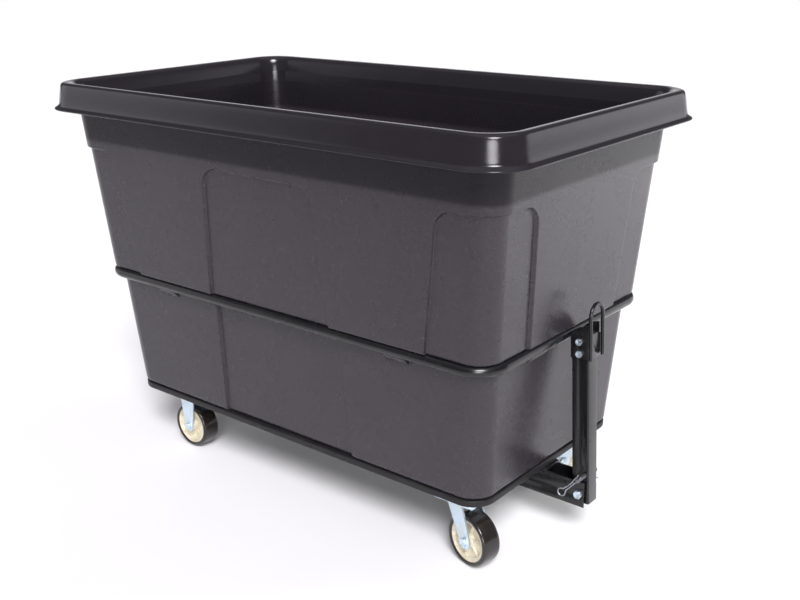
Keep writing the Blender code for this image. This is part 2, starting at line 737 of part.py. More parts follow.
def make_sleeve(material, pivot):
    """Folded plate round three sides of the tube's top; its cheeks stand above its web."""
    inner = BAR_HALF_Y + GAP
    outer = inner + SLEEVE_STEEL
    web = BAR_HALF_X + GAP
    front = web + SLEEVE_STEEL
    back = -BAR_HALF_X
    section = [(back, -outer), (front, -outer), (front, outer), (back, outer)]
    section += [(back, inner), (web, inner), (web, -inner), (back, -inner)]
    ends = [[(x, y, z) for x, y in section] for z in (SLEEVE_BOTTOM, SLEEVE_TOP)]
    sleeve = add_object("coupler_sleeve", prisms("coupler_sleeve", [ends]), material)
    web_cut = box_piece((web - 0.001, -inner, SLEEVE_WEB_TOP), (front + 0.01, inner, SLEEVE_TOP + 0.01))
    slope = [*SLEEVE_SLOPE, (0.030, SLEEVE_TOP + 0.03), (-0.030, SLEEVE_TOP + 0.03)]
    top_cut = [[(x, y, z) for x, z in slope] for y in (-0.04, 0.04)]
    cutter = helper("sleeve_cutter", prisms("sleeve_cutter", [web_cut]))
    top_cutter = helper("sleeve_top_cutter", prisms("sleeve_top_cutter", [top_cut]))
    holes = [hole_along_y((0, 0, z), BOLT_RADIUS + RUNNING, 0.05) for z in SLEEVE_BOLTS_Z]
    hole_helper = helper("sleeve_holes", prisms("sleeve_holes", holes))
    boolean(sleeve, cutter)
    boolean(sleeve, top_cutter)
    boolean(sleeve, hole_helper)
    hang(pivot, (sleeve, cutter, top_cutter, hole_helper))
    zinc = bpy.data.materials["zinc"]
    for number, z in enumerate(SLEEVE_BOLTS_Z, 1):
        profile = bolt_profile(
            radius=BOLT_RADIUS,
            head_radius=0.0085,
            head_height=0.0055,
            length=2 * outer,
            spare=0.010,
        )
        rings = along_y(turned(profile, 12), (0, -outer, z), -1.0)
        bolt = add_object(f"sleeve_bolt_{number}", lofted(f"sleeve_bolt_{number}", rings), zinc)
        nut = make_nut(f"sleeve_nut_{number}", (0, outer + GAP, z), 1.0, 0.0075, 0.0065, BOLT_RADIUS, zinc)
        hang(pivot, (bolt, nut))


def make_rod(name, points, radius, material, resolution=2):
    curve = bpy.data.curves.new(name, "CURVE")
    curve.dimensions = "3D"
    curve.bevel_depth = radius
    curve.bevel_resolution = resolution
    curve.use_fill_caps = True
    spline = curve.splines.new("POLY")
    spline.points.add(len(points) - 1)
    for point, place in zip(spline.points, points):
        point.co = (*place, 1.0)
    curve.materials.append(material)
    rod = bpy.data.objects.new(name, curve)
    bpy.context.scene.collection.objects.link(rod)
    return rod


def make_loop(material, pivot):
    """Round bar bent to a U and welded on the sleeve's front corners."""
    x = BAR_HALF_X + GAP + SLEEVE_STEEL + GAP + ROD_RADIUS
    points = [(x, -LOOP_HALF, LOOP_BOTTOM)]
    for step in range(13):
        angle = math.pi - math.pi * step / 12
        points.append((x, LOOP_HALF * math.cos(angle), LOOP_STRAIGHT + LOOP_HALF * math.sin(angle)))
    points.append((x, LOOP_HALF, LOOP_BOTTOM))
    hang(pivot, [make_rod("coupler_loop", points, ROD_RADIUS, material)])


def make_pivot(materials):
    """Bolt, nut and the two spacers that centre the tube between the flanges."""
    zinc = materials["zinc"]
    profile = bolt_profile(
        radius=PIVOT_RADIUS,
        head_radius=PIVOT_HEX,
        head_height=0.0075,
        length=2 * CHANNEL_HALF,
        spare=0.038,
    )
    rings = along_y(turned(profile, 12), PIVOT + Vector((0, -CHANNEL_HALF, 0)), -1.0)
    add_object("pivot_bolt", lofted("pivot_bolt", rings), zinc)
    face = PIVOT + Vector((0, CHANNEL_HALF + GAP, 0))
    make_nut("pivot_nut", face, 1.0, PIVOT_HEX, 0.010, PIVOT_RADIUS, zinc)
    inner = BAR_HALF_Y + GAP
    outer = CHANNEL_HALF - CHANNEL_STEEL - GAP
    for name, sign in (("left", 1.0), ("right", -1.0)):
        low, high = sorted((sign * inner, sign * outer))
        bore = PIVOT_RADIUS + RUNNING
        section = [(bore, low), (SPACER_RADIUS, low), (SPACER_RADIUS, high), (bore, high)]
        make_turned_ring(f"pivot_spacer_{name}", section, 16, PIVOT, materials["nylon"], 0.0)


def make_lock_pin(material, pivot):
    """Plain pin through the tube above the channel, with a low head and a cross hole for the clip."""
    head = BAR_HALF_Y + GAP
    profile = [(0.0045, LOCK_NEAR), (LOCK_RADIUS, LOCK_NEAR + 0.001), (LOCK_RADIUS, head)]
    profile += [(0.009, head), (0.009, head + 0.003), (0.008, head + 0.004)]
    rings = along_y(turned(profile, 12), (LOCK_X, 0, LOCK_Z))
    pin = add_object("lock_pin", lofted("lock_pin", rings), material)
    hole = turned([(CLIP_WIRE + GAP, -0.01), (CLIP_WIRE + GAP, 0.01)], 8)
    mesh = lofted("clip_hole_cutter", hole)
    mesh.transform(Matrix.Translation((LOCK_X, CLIP_Y, LOCK_Z)) @ clip_turn())
    cutter = helper("clip_hole_cutter", mesh)
    boolean(pin, cutter)
    hang(pivot, (pin, cutter))


def clip_turn():
    """Turns +Z to the clip's pull direction, down and toward the tub."""
    return Matrix.Rotation(1.5 * math.pi - CLIP_ANGLE, 4, "Y")


def make_clip(material, pivot):
    """R-shaped wire clip: a straight leg through the pin, a ring, and a leg bent round the pin."""
    beside = LOCK_RADIUS + CLIP_WIRE + GAP
    points = [(0.0, -0.011), (0.0, 0.012), (0.0, CLIP_NECK - 0.004)]
    centre = (CLIP_RING * 0.45, CLIP_NECK + CLIP_RING)
    for step in range(13):
        angle = math.radians(215 - 275 * step / 12)
        points.append((centre[0] + CLIP_RING * math.cos(angle), centre[1] + CLIP_RING * math.sin(angle)))
    points += [(0.0068, CLIP_NECK - 0.006), (0.0050, 0.030), (0.0048, 0.020), (0.0062, 0.011)]
    points += [(beside, 0.005), (beside, -0.003), (beside + 0.002, -0.009)]
    place = Matrix.Translation((LOCK_X, CLIP_Y, LOCK_Z)) @ clip_turn()
    path = [place @ Vector((x, 0.0, z)) for x, z in points]
    hang(pivot, [make_rod("r_clip", path, CLIP_WIRE, material, 1)])


def make_hitch(materials, bolt_holes):
    make_channel(materials["black_steel"], bolt_holes)
    pivot = bpy.data.objects.new("tow_bar_pivot", None)
    bpy.context.scene.collection.objects.link(pivot)
    pivot.location = PIVOT
    pivot.rotation_euler = (0.0, -BAR_LEAN, 0.0)
    make_tow_bar(materials["black_steel"], pivot)
    make_sleeve(materials["black_steel"], pivot)
    make_loop(materials["black_steel"], pivot)
    make_lock_pin(materials["dark_zinc"], pivot)
    make_clip(materials["zinc"], pivot)
    make_pivot(materials)


def make_materials():
    return {
        "tub_plastic": make_material("tub_plastic", (0.028, 0.026, 0.028), 0.42),
        "deck_black": make_material("deck_black", (0.012, 0.012, 0.012), 0.55),
        "black_steel": make_material("black_steel", (0.008, 0.008, 0.009), 0.22),
        "zinc": make_material("zinc", (0.62, 0.68, 0.75), 0.32, 1.0),
        "dark_zinc": make_material("dark_zinc", (0.16, 0.16, 0.17), 0.4, 1.0),
        "tread": make_material("tread", (0.022, 0.018, 0.016), 0.2),
        "hub": make_material("hub", (0.72, 0.63, 0.44), 0.45),
        "nylon": make_material("nylon", (0.03, 0.03, 0.03), 0.6),
    }


def main():
    clear_scene()
    materials = make_materials()
    bolt_holes = bolt_hole_cutter()
    make_tub(materials["tub_plastic"], bolt_holes)
    make_band(materials["black_steel"])
    make_deck(materials["deck_black"], bolt_holes)
    make_casters(materials, bolt_holes)
    make_hitch(materials, bolt_holes)


main()
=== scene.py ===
import json
import math

import bmesh
import bpy
import numpy as np
from mathutils import Matrix, Vector


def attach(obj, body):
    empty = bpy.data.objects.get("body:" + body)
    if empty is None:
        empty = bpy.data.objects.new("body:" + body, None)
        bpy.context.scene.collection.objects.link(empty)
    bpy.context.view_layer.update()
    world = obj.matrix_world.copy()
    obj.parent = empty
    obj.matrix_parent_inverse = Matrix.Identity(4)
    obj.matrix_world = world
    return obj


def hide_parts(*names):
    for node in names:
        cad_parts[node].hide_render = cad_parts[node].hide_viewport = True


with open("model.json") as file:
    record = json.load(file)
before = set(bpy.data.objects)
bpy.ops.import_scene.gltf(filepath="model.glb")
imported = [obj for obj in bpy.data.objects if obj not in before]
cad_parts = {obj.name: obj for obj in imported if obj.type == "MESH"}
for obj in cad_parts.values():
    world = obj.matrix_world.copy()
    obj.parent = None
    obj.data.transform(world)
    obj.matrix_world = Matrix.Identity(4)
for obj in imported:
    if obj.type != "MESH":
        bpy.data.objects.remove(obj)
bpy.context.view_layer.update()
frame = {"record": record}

BODY_OF = {node: body for body, nodes in frame["record"]["behaviour"]["bodies"].items() for node in nodes}

# Dimensions repeated from the CAD source, in metres
GAP = 0.0003  # between touching pieces
TOP = 1.022
CASTER_HEIGHT = 0.165
DECK_THICKNESS = 0.0157
DECK_BOTTOM = CASTER_HEIGHT + GAP
DECK_TOP = DECK_BOTTOM + DECK_THICKNESS
TUB_BOTTOM = DECK_TOP + GAP

# Tub: half lengths of its outer wall, and its shelf
WALL = 0.0065
LIP_HALF = 0.730
HALF_DIFFERENCE = 0.293  # half length less half width, from the floor up to the shelf
RIM_HALF_DIFFERENCE = 0.300  # and at the rim
SHELF_Z = 0.5242
SHELF_HALF = 0.640
UPPER_DRAFT = 0.0804  # metres outward per metre up
LOWER_HALF = 0.6165  # just under the shelf
LOWER_DRAFT = 0.0703
UPPER_CORNER = 0.065
LOWER_CORNER = 0.059
FLOOR_FILLET = 0.012
INNER_FILLET = 0.004
SKIRT_TOP = 1.010
SKIRT_BOTTOM = 0.9535

# Recessed panels: their edges are finer than the CAD's, so their ramp and top are a little off its values
PANEL_DEPTH = 0.008
PANEL_RAMP = 0.0045
PANEL_BASE = 0.530
PANEL_TOP = 0.855
PANEL_ROUND = 0.045
MIDDLE_PANEL_LOW = (0.222, 0.04)  # half width at the floor, and what it loses per metre up
MIDDLE_PANEL_HIGH = (0.202, 0.078)  # the same from the shelf up
CORNER_PANEL_SIDE = (0.47458, 0.14)  # start on a long side at the base, and its gain per metre up
CORNER_PANEL_END = (0.183, 0.07)  # the same on an end
LUG_LENGTH = 0.060
LUG_HEIGHT = 0.022
LUG_REACH = 0.015
SIDE_LUG_X = 0.385
END_LUG_Y = 0.125

# Band round the tub, under the shelf
BAND_RADIUS = 0.0127
BAND_HALF = 0.6297
BAND_Z = SHELF_Z - BAND_RADIUS - GAP
BAND_CORNER = 0.070

# Casters: the place of each in X and Y, and how far its fork has turned from trailing along +X
CASTERS = {
    "rear_left": (-0.432, 0.233, 0.0),
    "rear_right": (-0.432, -0.233, 0.0),
    "front_left": (0.512, 0.243, math.radians(-130.0)),
    "front_right": (0.512, -0.243, math.radians(-12.3)),
}
WHEEL_RADIUS = 0.0635
LEG_INNER = 0.0265
LEG_THICKNESS = 0.0045
RIGID_LEG = (0.0295, 0.016)  # half width at the top, and radius of the round end
SWIVEL_LEG = (0.025, 0.0185)
SWIVEL_LEG_TOP = 0.1495
TRAIL = 0.034
AXLE_RADIUS = 0.006
AXLE_HEX = 0.010  # over the corners of the head and the nut, from the middle
RUNNING = 0.0005  # radial clearance of a hole round its shaft
PLATE_X = 0.114
PLATE_Y = 0.1016
PLATE_THICKNESS = 0.005
PLATE_CORNER = 0.014
BOLT_SPACING_X = 0.088
BOLT_SPACING_Y = 0.0666
BOLT_RADIUS = 0.004
BOLT_HEX = 0.0075
NUT_HEIGHT = 0.0065

# Hitch channel, tow bar and pins; the bar's own places are from the pivot, with +Z along the bar
CHANNEL_START = -0.400
CHANNEL_END = 0.700
CHANNEL_HALF = 0.0285
CHANNEL_STEEL = 0.0045
PAD_TOP = DECK_BOTTOM - GAP
PAD_HALF = 0.0275
CHANNEL_TOP = PAD_TOP - 0.0075
CHANNEL_BOTTOM = CHANNEL_TOP - 0.066
WEB_END = 0.648
CHANNEL_BOLTS_X = (-0.34, 0.08, 0.555)
PADS_X = ((-0.375, -0.305), (0.045, 0.115), (0.530, 0.600))
PIVOT = Vector((0.6863, 0.0, 0.1253))
PIVOT_HEX = 0.0108
PIVOT_RADIUS = 0.006
BAR_LEAN = math.radians(2.75)
BAR_FRAME = Matrix.Translation(PIVOT) @ Matrix.Rotation(-BAR_LEAN, 4, "Y")
BAR_HALF_X = 0.0222
BAR_HALF_Y = 0.0200
BAR_STEEL = 0.003
BAR_ENDS = (-0.0252, 0.397)
SLEEVE_STEEL = 0.0035
SLEEVE_INNER = BAR_HALF_Y + GAP
SLEEVE_OUTER = SLEEVE_INNER + SLEEVE_STEEL
SLEEVE_WEB = BAR_HALF_X + GAP
SLEEVE_FRONT = SLEEVE_WEB + SLEEVE_STEEL
SLEEVE_ENDS = (0.3365, 0.420)
SLEEVE_WEB_TOP = 0.395
SLEEVE_BOLTS_Z = (0.348, 0.377)
ROD_RADIUS = 0.0045
LOOP_HALF = 0.027
LOOP_BOTTOM = 0.339
LOOP_STRAIGHT = 0.438
SPACER_RADIUS = 0.012
SPACER_ENDS = (0.0203, 0.0237)
LOCK_X = 0.0125
LOCK_Z = 0.0484
LOCK_RADIUS = 0.005
LOCK_NEAR = -0.058
CLIP_Y = -0.050
CLIP_WIRE = 0.0016
CLIP_ANGLE = math.radians(47.0)
CLIP_NECK = 0.052
CLIP_RING = 0.0095


# ---------- materials ----------

BLACK = (0.0, 0.0, 0.0)
WHITE = (1.0, 1.0, 1.0)
PAINTED_RIM_SHADOW = 0.62  # how far the painted shadow under the rim goes toward its dark colour
COLOUR_SOCKETS = (6, 7)  # a Mix node's colour inputs, which share their names with its number inputs
COLOUR_OUTPUT = 2


class Shader:
    """A Principled material, with short calls for the procedural detail on it."""

    def __init__(self, name, roughness, metallic=0.0, coat=0.0, coat_roughness=0.1, specular=0.5):
        self.material = bpy.data.materials.new(name)
        self.material.use_nodes = True
        self.tree = self.material.node_tree
        self.bsdf = self.tree.nodes["Principled BSDF"]
        self.bsdf.inputs["Roughness"].default_value = roughness
        self.bsdf.inputs["Metallic"].default_value = metallic
        self.bsdf.inputs["Coat Weight"].default_value = coat
        self.bsdf.inputs["Coat Roughness"].default_value = coat_roughness
        self.bsdf.inputs["Specular IOR Level"].default_value = specular
        self.place = self.tree.nodes.new("ShaderNodeTexCoord")
        self.height = None

    def noise(self, scale, detail=3.0, roughness=0.5, stretch=None):
        source = self.place.outputs["Object"]
        if stretch:
            mapping = self.tree.nodes.new("ShaderNodeMapping")
            mapping.inputs["Scale"].default_value = stretch
            self.tree.links.new(source, mapping.inputs["Vector"])
            source = mapping.outputs["Vector"]
        node = self.tree.nodes.new("ShaderNodeTexNoise")
        node.inputs["Scale"].default_value = scale
        node.inputs["Detail"].default_value = detail
        node.inputs["Roughness"].default_value = roughness
        self.tree.links.new(source, node.inputs["Vector"])
        return node.outputs["Fac"]

    def along(self, axis):
        node = self.tree.nodes.new("ShaderNodeSeparateXYZ")
        self.tree.links.new(self.place.outputs["Object"], node.inputs["Vector"])
        return node.outputs[axis]

    def span(self, value, low, high, out_low, out_high):
        node = self.tree.nodes.new("ShaderNodeMapRange")
        for key, number in (("From Min", low), ("From Max", high), ("To Min", out_low), ("To Max", out_high)):
            node.inputs[key].default_value = number
        self.tree.links.new(value, node.inputs["Value"])
        return node.outputs["Result"]

    def ramp(self, value, stops):
        node = self.tree.nodes.new("ShaderNodeValToRGB")
        while len(node.color_ramp.elements) < len(stops):
            node.color_ramp.elements.new(0.5)
        for element, (position, colour) in zip(node.color_ramp.elements, stops):
            element.position = position
            element.color = (*colour, 1.0)
        self.tree.links.new(value, node.inputs["Fac"])
        return node.outputs["Color"]

    def mix(self, value, first, second):
        node = self.tree.nodes.new("ShaderNodeMix")
        node.data_type = "RGBA"
        self.tree.links.new(value, node.inputs["Factor"])
        for index, colour in zip(COLOUR_SOCKETS, (first, second)):
            socket = node.inputs[index]
            if isinstance(colour, tuple):
                socket.default_value = (*colour, 1.0)
            else:
                self.tree.links.new(colour, socket)
        return node.outputs[COLOUR_OUTPUT]

    def colour(self, value):
        self.tree.links.new(value, self.bsdf.inputs["Base Color"])

    def specular(self, value):
        self.tree.links.new(value, self.bsdf.inputs["Specular IOR Level"])

    def rough(self, value):
        self.tree.links.new(value, self.bsdf.inputs["Roughness"])

    def bump(self, value, strength, distance):
        node = self.tree.nodes.new("ShaderNodeBump")
        node.inputs["Strength"].default_value = strength
        node.inputs["Distance"].default_value = distance
        self.tree.links.new(value, node.inputs["Height"])
        if self.height:
            self.tree.links.new(self.height, node.inputs["Normal"])
        self.height = node.outputs["Normal"]
        self.tree.links.new(self.height, self.bsdf.inputs["Normal"])


def tub_plastic():
    """Rotomoulded polyethylene: fine grain and cloudy gloss, a shinier rim whose darker colour is painted
    shade, and a painted shadow under the rim.
    """
    s = Shader("tub_plastic_skin", 0.3)
    cloud = s.noise(2.3, 5.0, 0.6)
    base = s.ramp(cloud, [(0.30, (0.0205, 0.0172, 0.0220)), (0.72, (0.0275, 0.0236, 0.0294))])
    pores = s.noise(330.0, 3.0, 0.7)
    base = s.mix(s.span(pores, 0.50, 0.72, 0.0, 0.75), base, (0.058, 0.052, 0.061))
    height = s.along("Z")
    skirt = s.span(height, SKIRT_BOTTOM - 0.004, SKIRT_BOTTOM, 0.0, 1.0)
    # painted shadow under the rim: from just above the panels' tops up to the skirt, the colour darkens and
    # the specular falls
    rim_shadow = s.span(height, PANEL_TOP + 0.014, PANEL_TOP + 0.024, 0.0, PAINTED_RIM_SHADOW)
    rim_shadow = s.mix(skirt, s.mix(rim_shadow, BLACK, WHITE), BLACK)
    base = s.mix(rim_shadow, base, (0.006, 0.005, 0.007))
    # painted shade: the rim gets a darker, even colour than the wall
    s.colour(s.mix(skirt, base, (0.0145, 0.0125, 0.0155)))
    s.specular(s.span(rim_shadow, 0.0, PAINTED_RIM_SHADOW, 0.42, 0.20))
    wall_gloss = s.span(s.noise(11.0, 6.0, 0.62), 0.30, 0.72, 0.24, 0.30)
    rim_gloss = s.span(s.noise(14.0, 6.0, 0.62), 0.30, 0.72, 0.11, 0.20)
    s.rough(s.mix(skirt, wall_gloss, rim_gloss))
    s.bump(s.noise(2.6, 1.0), 0.5, 0.006)
    s.bump(pores, 0.22, 0.0004)
    return s.material


def deck_board():
    """Board painted black: layers along its edge, grain and a few rubbed places."""
    s = Shader("deck_board_paint", 0.45, specular=0.22)
    grain = s.noise(14.0, 6.0, 0.6, (1.0, 9.0, 9.0))
    base = s.ramp(grain, [(0.3, (0.010, 0.0098, 0.0105)), (0.75, (0.022, 0.021, 0.022))])
    worn = s.span(s.noise(38.0, 6.0, 0.7), 0.62, 0.80, 0.0, 0.5)
    s.colour(s.mix(worn, base, (0.055, 0.046, 0.038)))
    s.rough(s.span(grain, 0.25, 0.75, 0.30, 0.55))
    s.bump(s.noise(60.0, 3.0, 0.6, (0.15, 0.15, 8.0)), 0.35, 0.0006)
    return s.material


def black_enamel():
    """Gloss black paint on steel, with slight waves, dust and rubbed specks."""
    s = Shader("black_enamel_paint", 0.2, coat=0.2, coat_roughness=0.06, specular=0.4)
    base = s.ramp(s.noise(6.0, 5.0), [(0.3, (0.004, 0.004, 0.005)), (0.8, (0.009, 0.0088, 0.010))])
    rubbed = s.span(s.noise(70.0, 7.0, 0.7), 0.68, 0.80, 0.0, 0.55)
    s.colour(s.mix(rubbed, base, (0.085, 0.075, 0.068)))
    s.rough(s.span(s.noise(18.0, 6.0, 0.65), 0.3, 0.75, 0.16, 0.34))
    s.bump(s.noise(42.0, 2.0), 0.25, 0.0006)
    s.bump(s.noise(260.0, 2.0), 0.12, 0.0003)
    return s.material


def zinc(name, light, warm, roughness):
    """Bright zinc plate: cool steel with a faint passivation tint, rolling lines and dull patches."""
    s = Shader(name, roughness, metallic=0.82)
    tint = s.noise(22.0, 4.0, 0.55)
    base = s.ramp(tint, [(0.32, light), (0.52, tuple(c * 0.93 for c in light)), (0.78, warm)])
    dull = s.span(s.noise(90.0, 6.0, 0.7), 0.60, 0.80, 0.0, 0.5)
    s.colour(s.mix(dull, base, tuple(c * 0.62 for c in light)))
    s.rough(s.span(s.noise(55.0, 6.0, 0.65), 0.28, 0.75, roughness - 0.08, roughness + 0.14))
    s.bump(s.noise(120.0, 3.0, 0.6, (1.0, 1.0, 0.12)), 0.18, 0.0003)
    return s.material


def tread_rubber():
    """Polished polyurethane tread: dark, with a brown cast, fine mould lines and dusty scratches."""
    s = Shader("tread_polyurethane", 0.16, coat=0.25, coat_roughness=0.05, specular=0.4)
    base = s.ramp(s.noise(30.0, 5.0), [(0.3, (0.008, 0.0066, 0.0060)), (0.75, (0.021, 0.0170, 0.0145))])
    dust = s.span(s.noise(160.0, 6.0, 0.75), 0.62, 0.80, 0.0, 0.5)
    s.colour(s.mix(dust, base, (0.14, 0.12, 0.10)))
    s.rough(s.span(s.noise(75.0, 6.0, 0.7), 0.3, 0.75, 0.10, 0.30))
    s.bump(s.noise(150.0, 3.0), 0.15, 0.0003)
    return s.material


def hub_plastic():
    """Cream moulded hub: mottled, with darker stains spread at random."""
    s = Shader("hub_polyolefin", 0.42)
    base = s.ramp(s.noise(45.0, 5.0, 0.6), [(0.28, (0.44, 0.395, 0.285)), (0.70, (0.68, 0.635, 0.500))])
    stain = s.span(s.noise(110.0, 7.0, 0.72), 0.54, 0.74, 0.0, 0.70)
    s.colour(s.mix(stain, base, (0.14, 0.11, 0.07)))
    s.rough(s.span(s.noise(130.0, 4.0), 0.3, 0.7, 0.32, 0.55))
    s.bump(s.noise(320.0, 2.0), 0.25, 0.0003)
    return s.material


def nylon_black():
    s = Shader("nylon_black", 0.5)
    s.colour(s.ramp(s.noise(120.0, 4.0), [(0.3, (0.020, 0.020, 0.021)), (0.7, (0.045, 0.044, 0.045))]))
    s.bump(s.noise(400.0, 2.0), 0.2, 0.0002)
    return s.material


MATERIAL = {
    "tub_plastic": tub_plastic(),
    "deck_board": deck_board(),
    "black_steel": black_enamel(),
    "zinc_steel": zinc("zinc_bright", (0.66, 0.78, 0.88), (0.74, 0.75, 0.66), 0.30),
    "dark_steel": zinc("steel_dark", (0.16, 0.165, 0.18), (0.20, 0.18, 0.15), 0.34),
    "tread": tread_rubber(),
    "hub_plastic": hub_plastic(),
    "nylon": nylon_black(),
    "clip_wire": zinc("steel_spring_wire", (0.36, 0.38, 0.41), (0.30, 0.29, 0.26), 0.26),
}


# ---------- mesh helpers ----------

def link(name, bm):
    bmesh.ops.recalc_face_normals(bm, faces=bm.faces)
    mesh = bpy.data.meshes.new(name)
    bm.to_mesh(mesh)
    bm.free()
    obj = bpy.data.objects.new(name, mesh)
    bpy.context.scene.collection.objects.link(obj)
    return obj


def add_loft(bm, rings, closed):
    """Faces from ring to ring, with a cap on each end or from the last ring back to the first."""
    loops = [[bm.verts.new(tuple(point)) for point in level] for level in rings]
    pairs = list(zip(loops, loops[1:]))
    if closed:
        pairs.append((loops[-1], loops[0]))
    for low, high in pairs:
        for i in range(len(low)):
            j = (i + 1) % len(low)
            bm.faces.new((low[i], low[j], high[j], high[i]))
    if not closed:
        bm.faces.new(loops[0][::-1])
        bm.faces.new(loops[-1])


def loft(name, *ring_sets, closed=False):
    bm = bmesh.new()
    for rings in ring_sets:
        add_loft(bm, rings, closed)
    return link(name, bm)


def apply_modifiers(obj):
    mesh = bpy.data.meshes.new_from_object(obj.evaluated_get(bpy.context.evaluated_depsgraph_get()))
    obj.modifiers.clear()
    obj.data = mesh


def combine(obj, others, operation="DIFFERENCE"):
    for other in others:
        modifier = obj.modifiers.new("combine", "BOOLEAN")
        modifier.operation = operation
        modifier.solver = "EXACT"
        modifier.object = other
    bpy.context.view_layer.update()
    apply_modifiers(obj)
    for other in others:
        bpy.data.objects.remove(other, do_unlink=True)


def soften(obj, width, segments=2, angle=30.0):
    """Small rounded edges on a hard-edged solid."""
    modifier = obj.modifiers.new("soften", "BEVEL")
    modifier.width = width
    modifier.segments = segments
    modifier.limit_method = "ANGLE"
    modifier.angle_limit = math.radians(angle)
    modifier.miter_outer = "MITER_ARC"
    bpy.context.view_layer.update()
    apply_modifiers(obj)


def piece(obj, node, slot, matrix=None, sharp=40.0, stands=True, weighted=False, look=None):
    """Puts a finished mesh in place, shades it, and sets what it rides on and stands for."""
    if matrix is not None:
        obj.data.transform(matrix)
    obj.data.materials.clear()
    obj.data.materials.append(MATERIAL[look or slot])
    obj.data.shade_smooth()
    obj.data.set_sharp_from_angle(angle=math.radians(sharp))
    if weighted:
        modifier = obj.modifiers.new("weighted", "WEIGHTED_NORMAL")
        modifier.keep_sharp = True
    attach(obj, BODY_OF[node])
    if stands:
        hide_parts(node)


def round_polygon(points, radii, steps=5):
    """A 2-D outline with each corner rounded to its radius."""
    out = []
    count = len(points)
    for i, radius in enumerate(radii):
        corner = Vector(points[i])
        to_last = (Vector(points[i - 1]) - corner).normalized()
        to_next = (Vector(points[(i + 1) % count]) - corner).normalized()
        if radius <= 0:
            out.append(tuple(corner))
            continue
        half = math.acos(max(-1.0, min(1.0, to_last.dot(to_next)))) / 2
        centre = corner + (to_last + to_next).normalized() * radius / math.sin(half)
        start = corner + to_last * radius / math.tan(half) - centre
        end = corner + to_next * radius / math.tan(half) - centre
        sweep = start.angle_signed(end)
        for k in range(steps + 1):
            a = -sweep * k / steps
            c, s = math.cos(a), math.sin(a)
            out.append((centre.x + c * start.x - s * start.y, centre.y + s * start.x + c * start.y))
    return out


def rectangle(half_x, half_y, corner, steps=6):
    points = [(half_x, half_y), (-half_x, half_y), (-half_x, -half_y), (half_x, -half_y)]
    return round_polygon(points, [corner] * 4, steps)


def plate_xy(name, outline, low, high):
    return loft(name, [[(x, y, z) for x, y in outline] for z in (low, high)])


def plate_xz(name, outline, low, high):
    return loft(name, [[(x, y, z) for x, z in outline] for y in (low, high)])


def plate_yz(name, outline, low, high):
    return loft(name, [[(x, y, z) for y, z in outline] for x in (low, high)])


def box(x, y, z):
    """The two rings of a box, from its lower and upper bound along each axis."""
    return [[(x[i], y[j], height) for i, j in ((0, 0), (1, 0), (1, 1), (0, 1))] for height in z]


def ring(radius, height, sides, hexagon=0.0):
    """A circle about +Z, or a hexagon with its corners on that radius as hexagon goes to 1."""
    out = []
    for i in range(sides):
        a = 2 * math.pi * i / sides
        off = (a + math.pi / 6) % (math.pi / 3) - math.pi / 6
        flat = math.cos(math.pi / 6) / math.cos(math.pi / 6 - abs(off))
        reach = radius * (1 + hexagon * (flat - 1))
        out.append((reach * math.cos(a), reach * math.sin(a), height))
    return out


def turned(profile, sides=48):
    """Rings about +Z from (radius, height) steps, some with a share of hexagon as a third value."""
    return [ring(step[0], step[1], sides, step[2] if len(step) > 2 else 0.0) for step in profile]


def cross_hole(x, z, radius, sides=28):
    """A cutter along Y, long enough to pass through any of the pieces."""
    reach = 0.05
    return loft("hole", [[(x + px, y, z + pz) for px, pz, _ in ring(radius, 0.0, sides)]
                         for y in (-reach, reach)])


def revolved(name, section, sides=96):
    """A closed (radius, along) section turned about +Z."""
    loops = []
    for i in range(sides):
        a = 2 * math.pi * i / sides
        loops.append([(r * math.cos(a), r * math.sin(a), h) for r, h in section])
    return loft(name, loops, closed=True)


def along_y(centre, sign=1.0):
    """Turns +Z to sign * Y and moves the result to centre."""
    return Matrix.Translation(centre) @ Matrix.Rotation(-sign * math.pi / 2, 4, "X")


def chaikin(points):
    """Rounds an open polyline by cutting its corners twice; its two ends stay."""
    for _ in range(2):
        cut = [points[0]]
        for a, b in zip(points, points[1:]):
            cut.append(tuple(0.75 * p + 0.25 * q for p, q in zip(a, b)))
            cut.append(tuple(0.25 * p + 0.75 * q for p, q in zip(a, b)))
        points = cut + [points[-1]]
    return points


def smooth_line(points, parts):
    """Catmull-Rom points through a route."""
    points = [Vector(p) for p in points]
    ends = [2 * points[0] - points[1], *points, 2 * points[-1] - points[-2]]
    out = []
    for i in range(1, len(ends) - 2):
        a, b, c, d = ends[i - 1:i + 3]
        for k in range(parts):
            t = k / parts
            out.append(0.5 * (2 * b + (c - a) * t + (2 * a - 5 * b + 4 * c - d) * t**2
                              + (3 * b - a - 3 * c + d) * t**3))
    return out + [points[-1]]


def rod(name, points, radius, sides=16, closed=False):
    """A round bar along a route, with domed ends."""
    points = [Vector(p) for p in points]
    count = len(points)
    rings = []
    across = None
    for i, point in enumerate(points):
        if closed:
            ahead = (points[(i + 1) % count] - points[i - 1]).normalized()
        else:
            ahead = (points[min(i + 1, count - 1)] - points[max(i - 1, 0)]).normalized()
        if across is None:
            across = ahead.orthogonal().normalized()
        across = (across - ahead * across.dot(ahead)).normalized()
        up = ahead.cross(across)
        turns = [2 * math.pi * k / sides for k in range(sides)]
        rings.append((point, ahead, [across * math.cos(a) + up * math.sin(a) for a in turns]))
    loops = [[point + v * radius for v in circle] for point, ahead, circle in rings]
    if not closed:
        loops = dome(*rings[0], radius, -1)[::-1] + loops + dome(*rings[-1], radius, 1)
    return loft(name, loops, closed=closed)


def dome(point, ahead, circle, radius, sign):
    """Rings that close a bar's end with a low dome."""
    flatness = 0.35
    rings = []
    for a in (0.3, 0.7, 1.2):
        centre = point + ahead * sign * radius * math.sin(a) * flatness
        rings.append([centre + v * radius * math.cos(a) for v in circle])
    return rings


# ---------- fasteners ----------

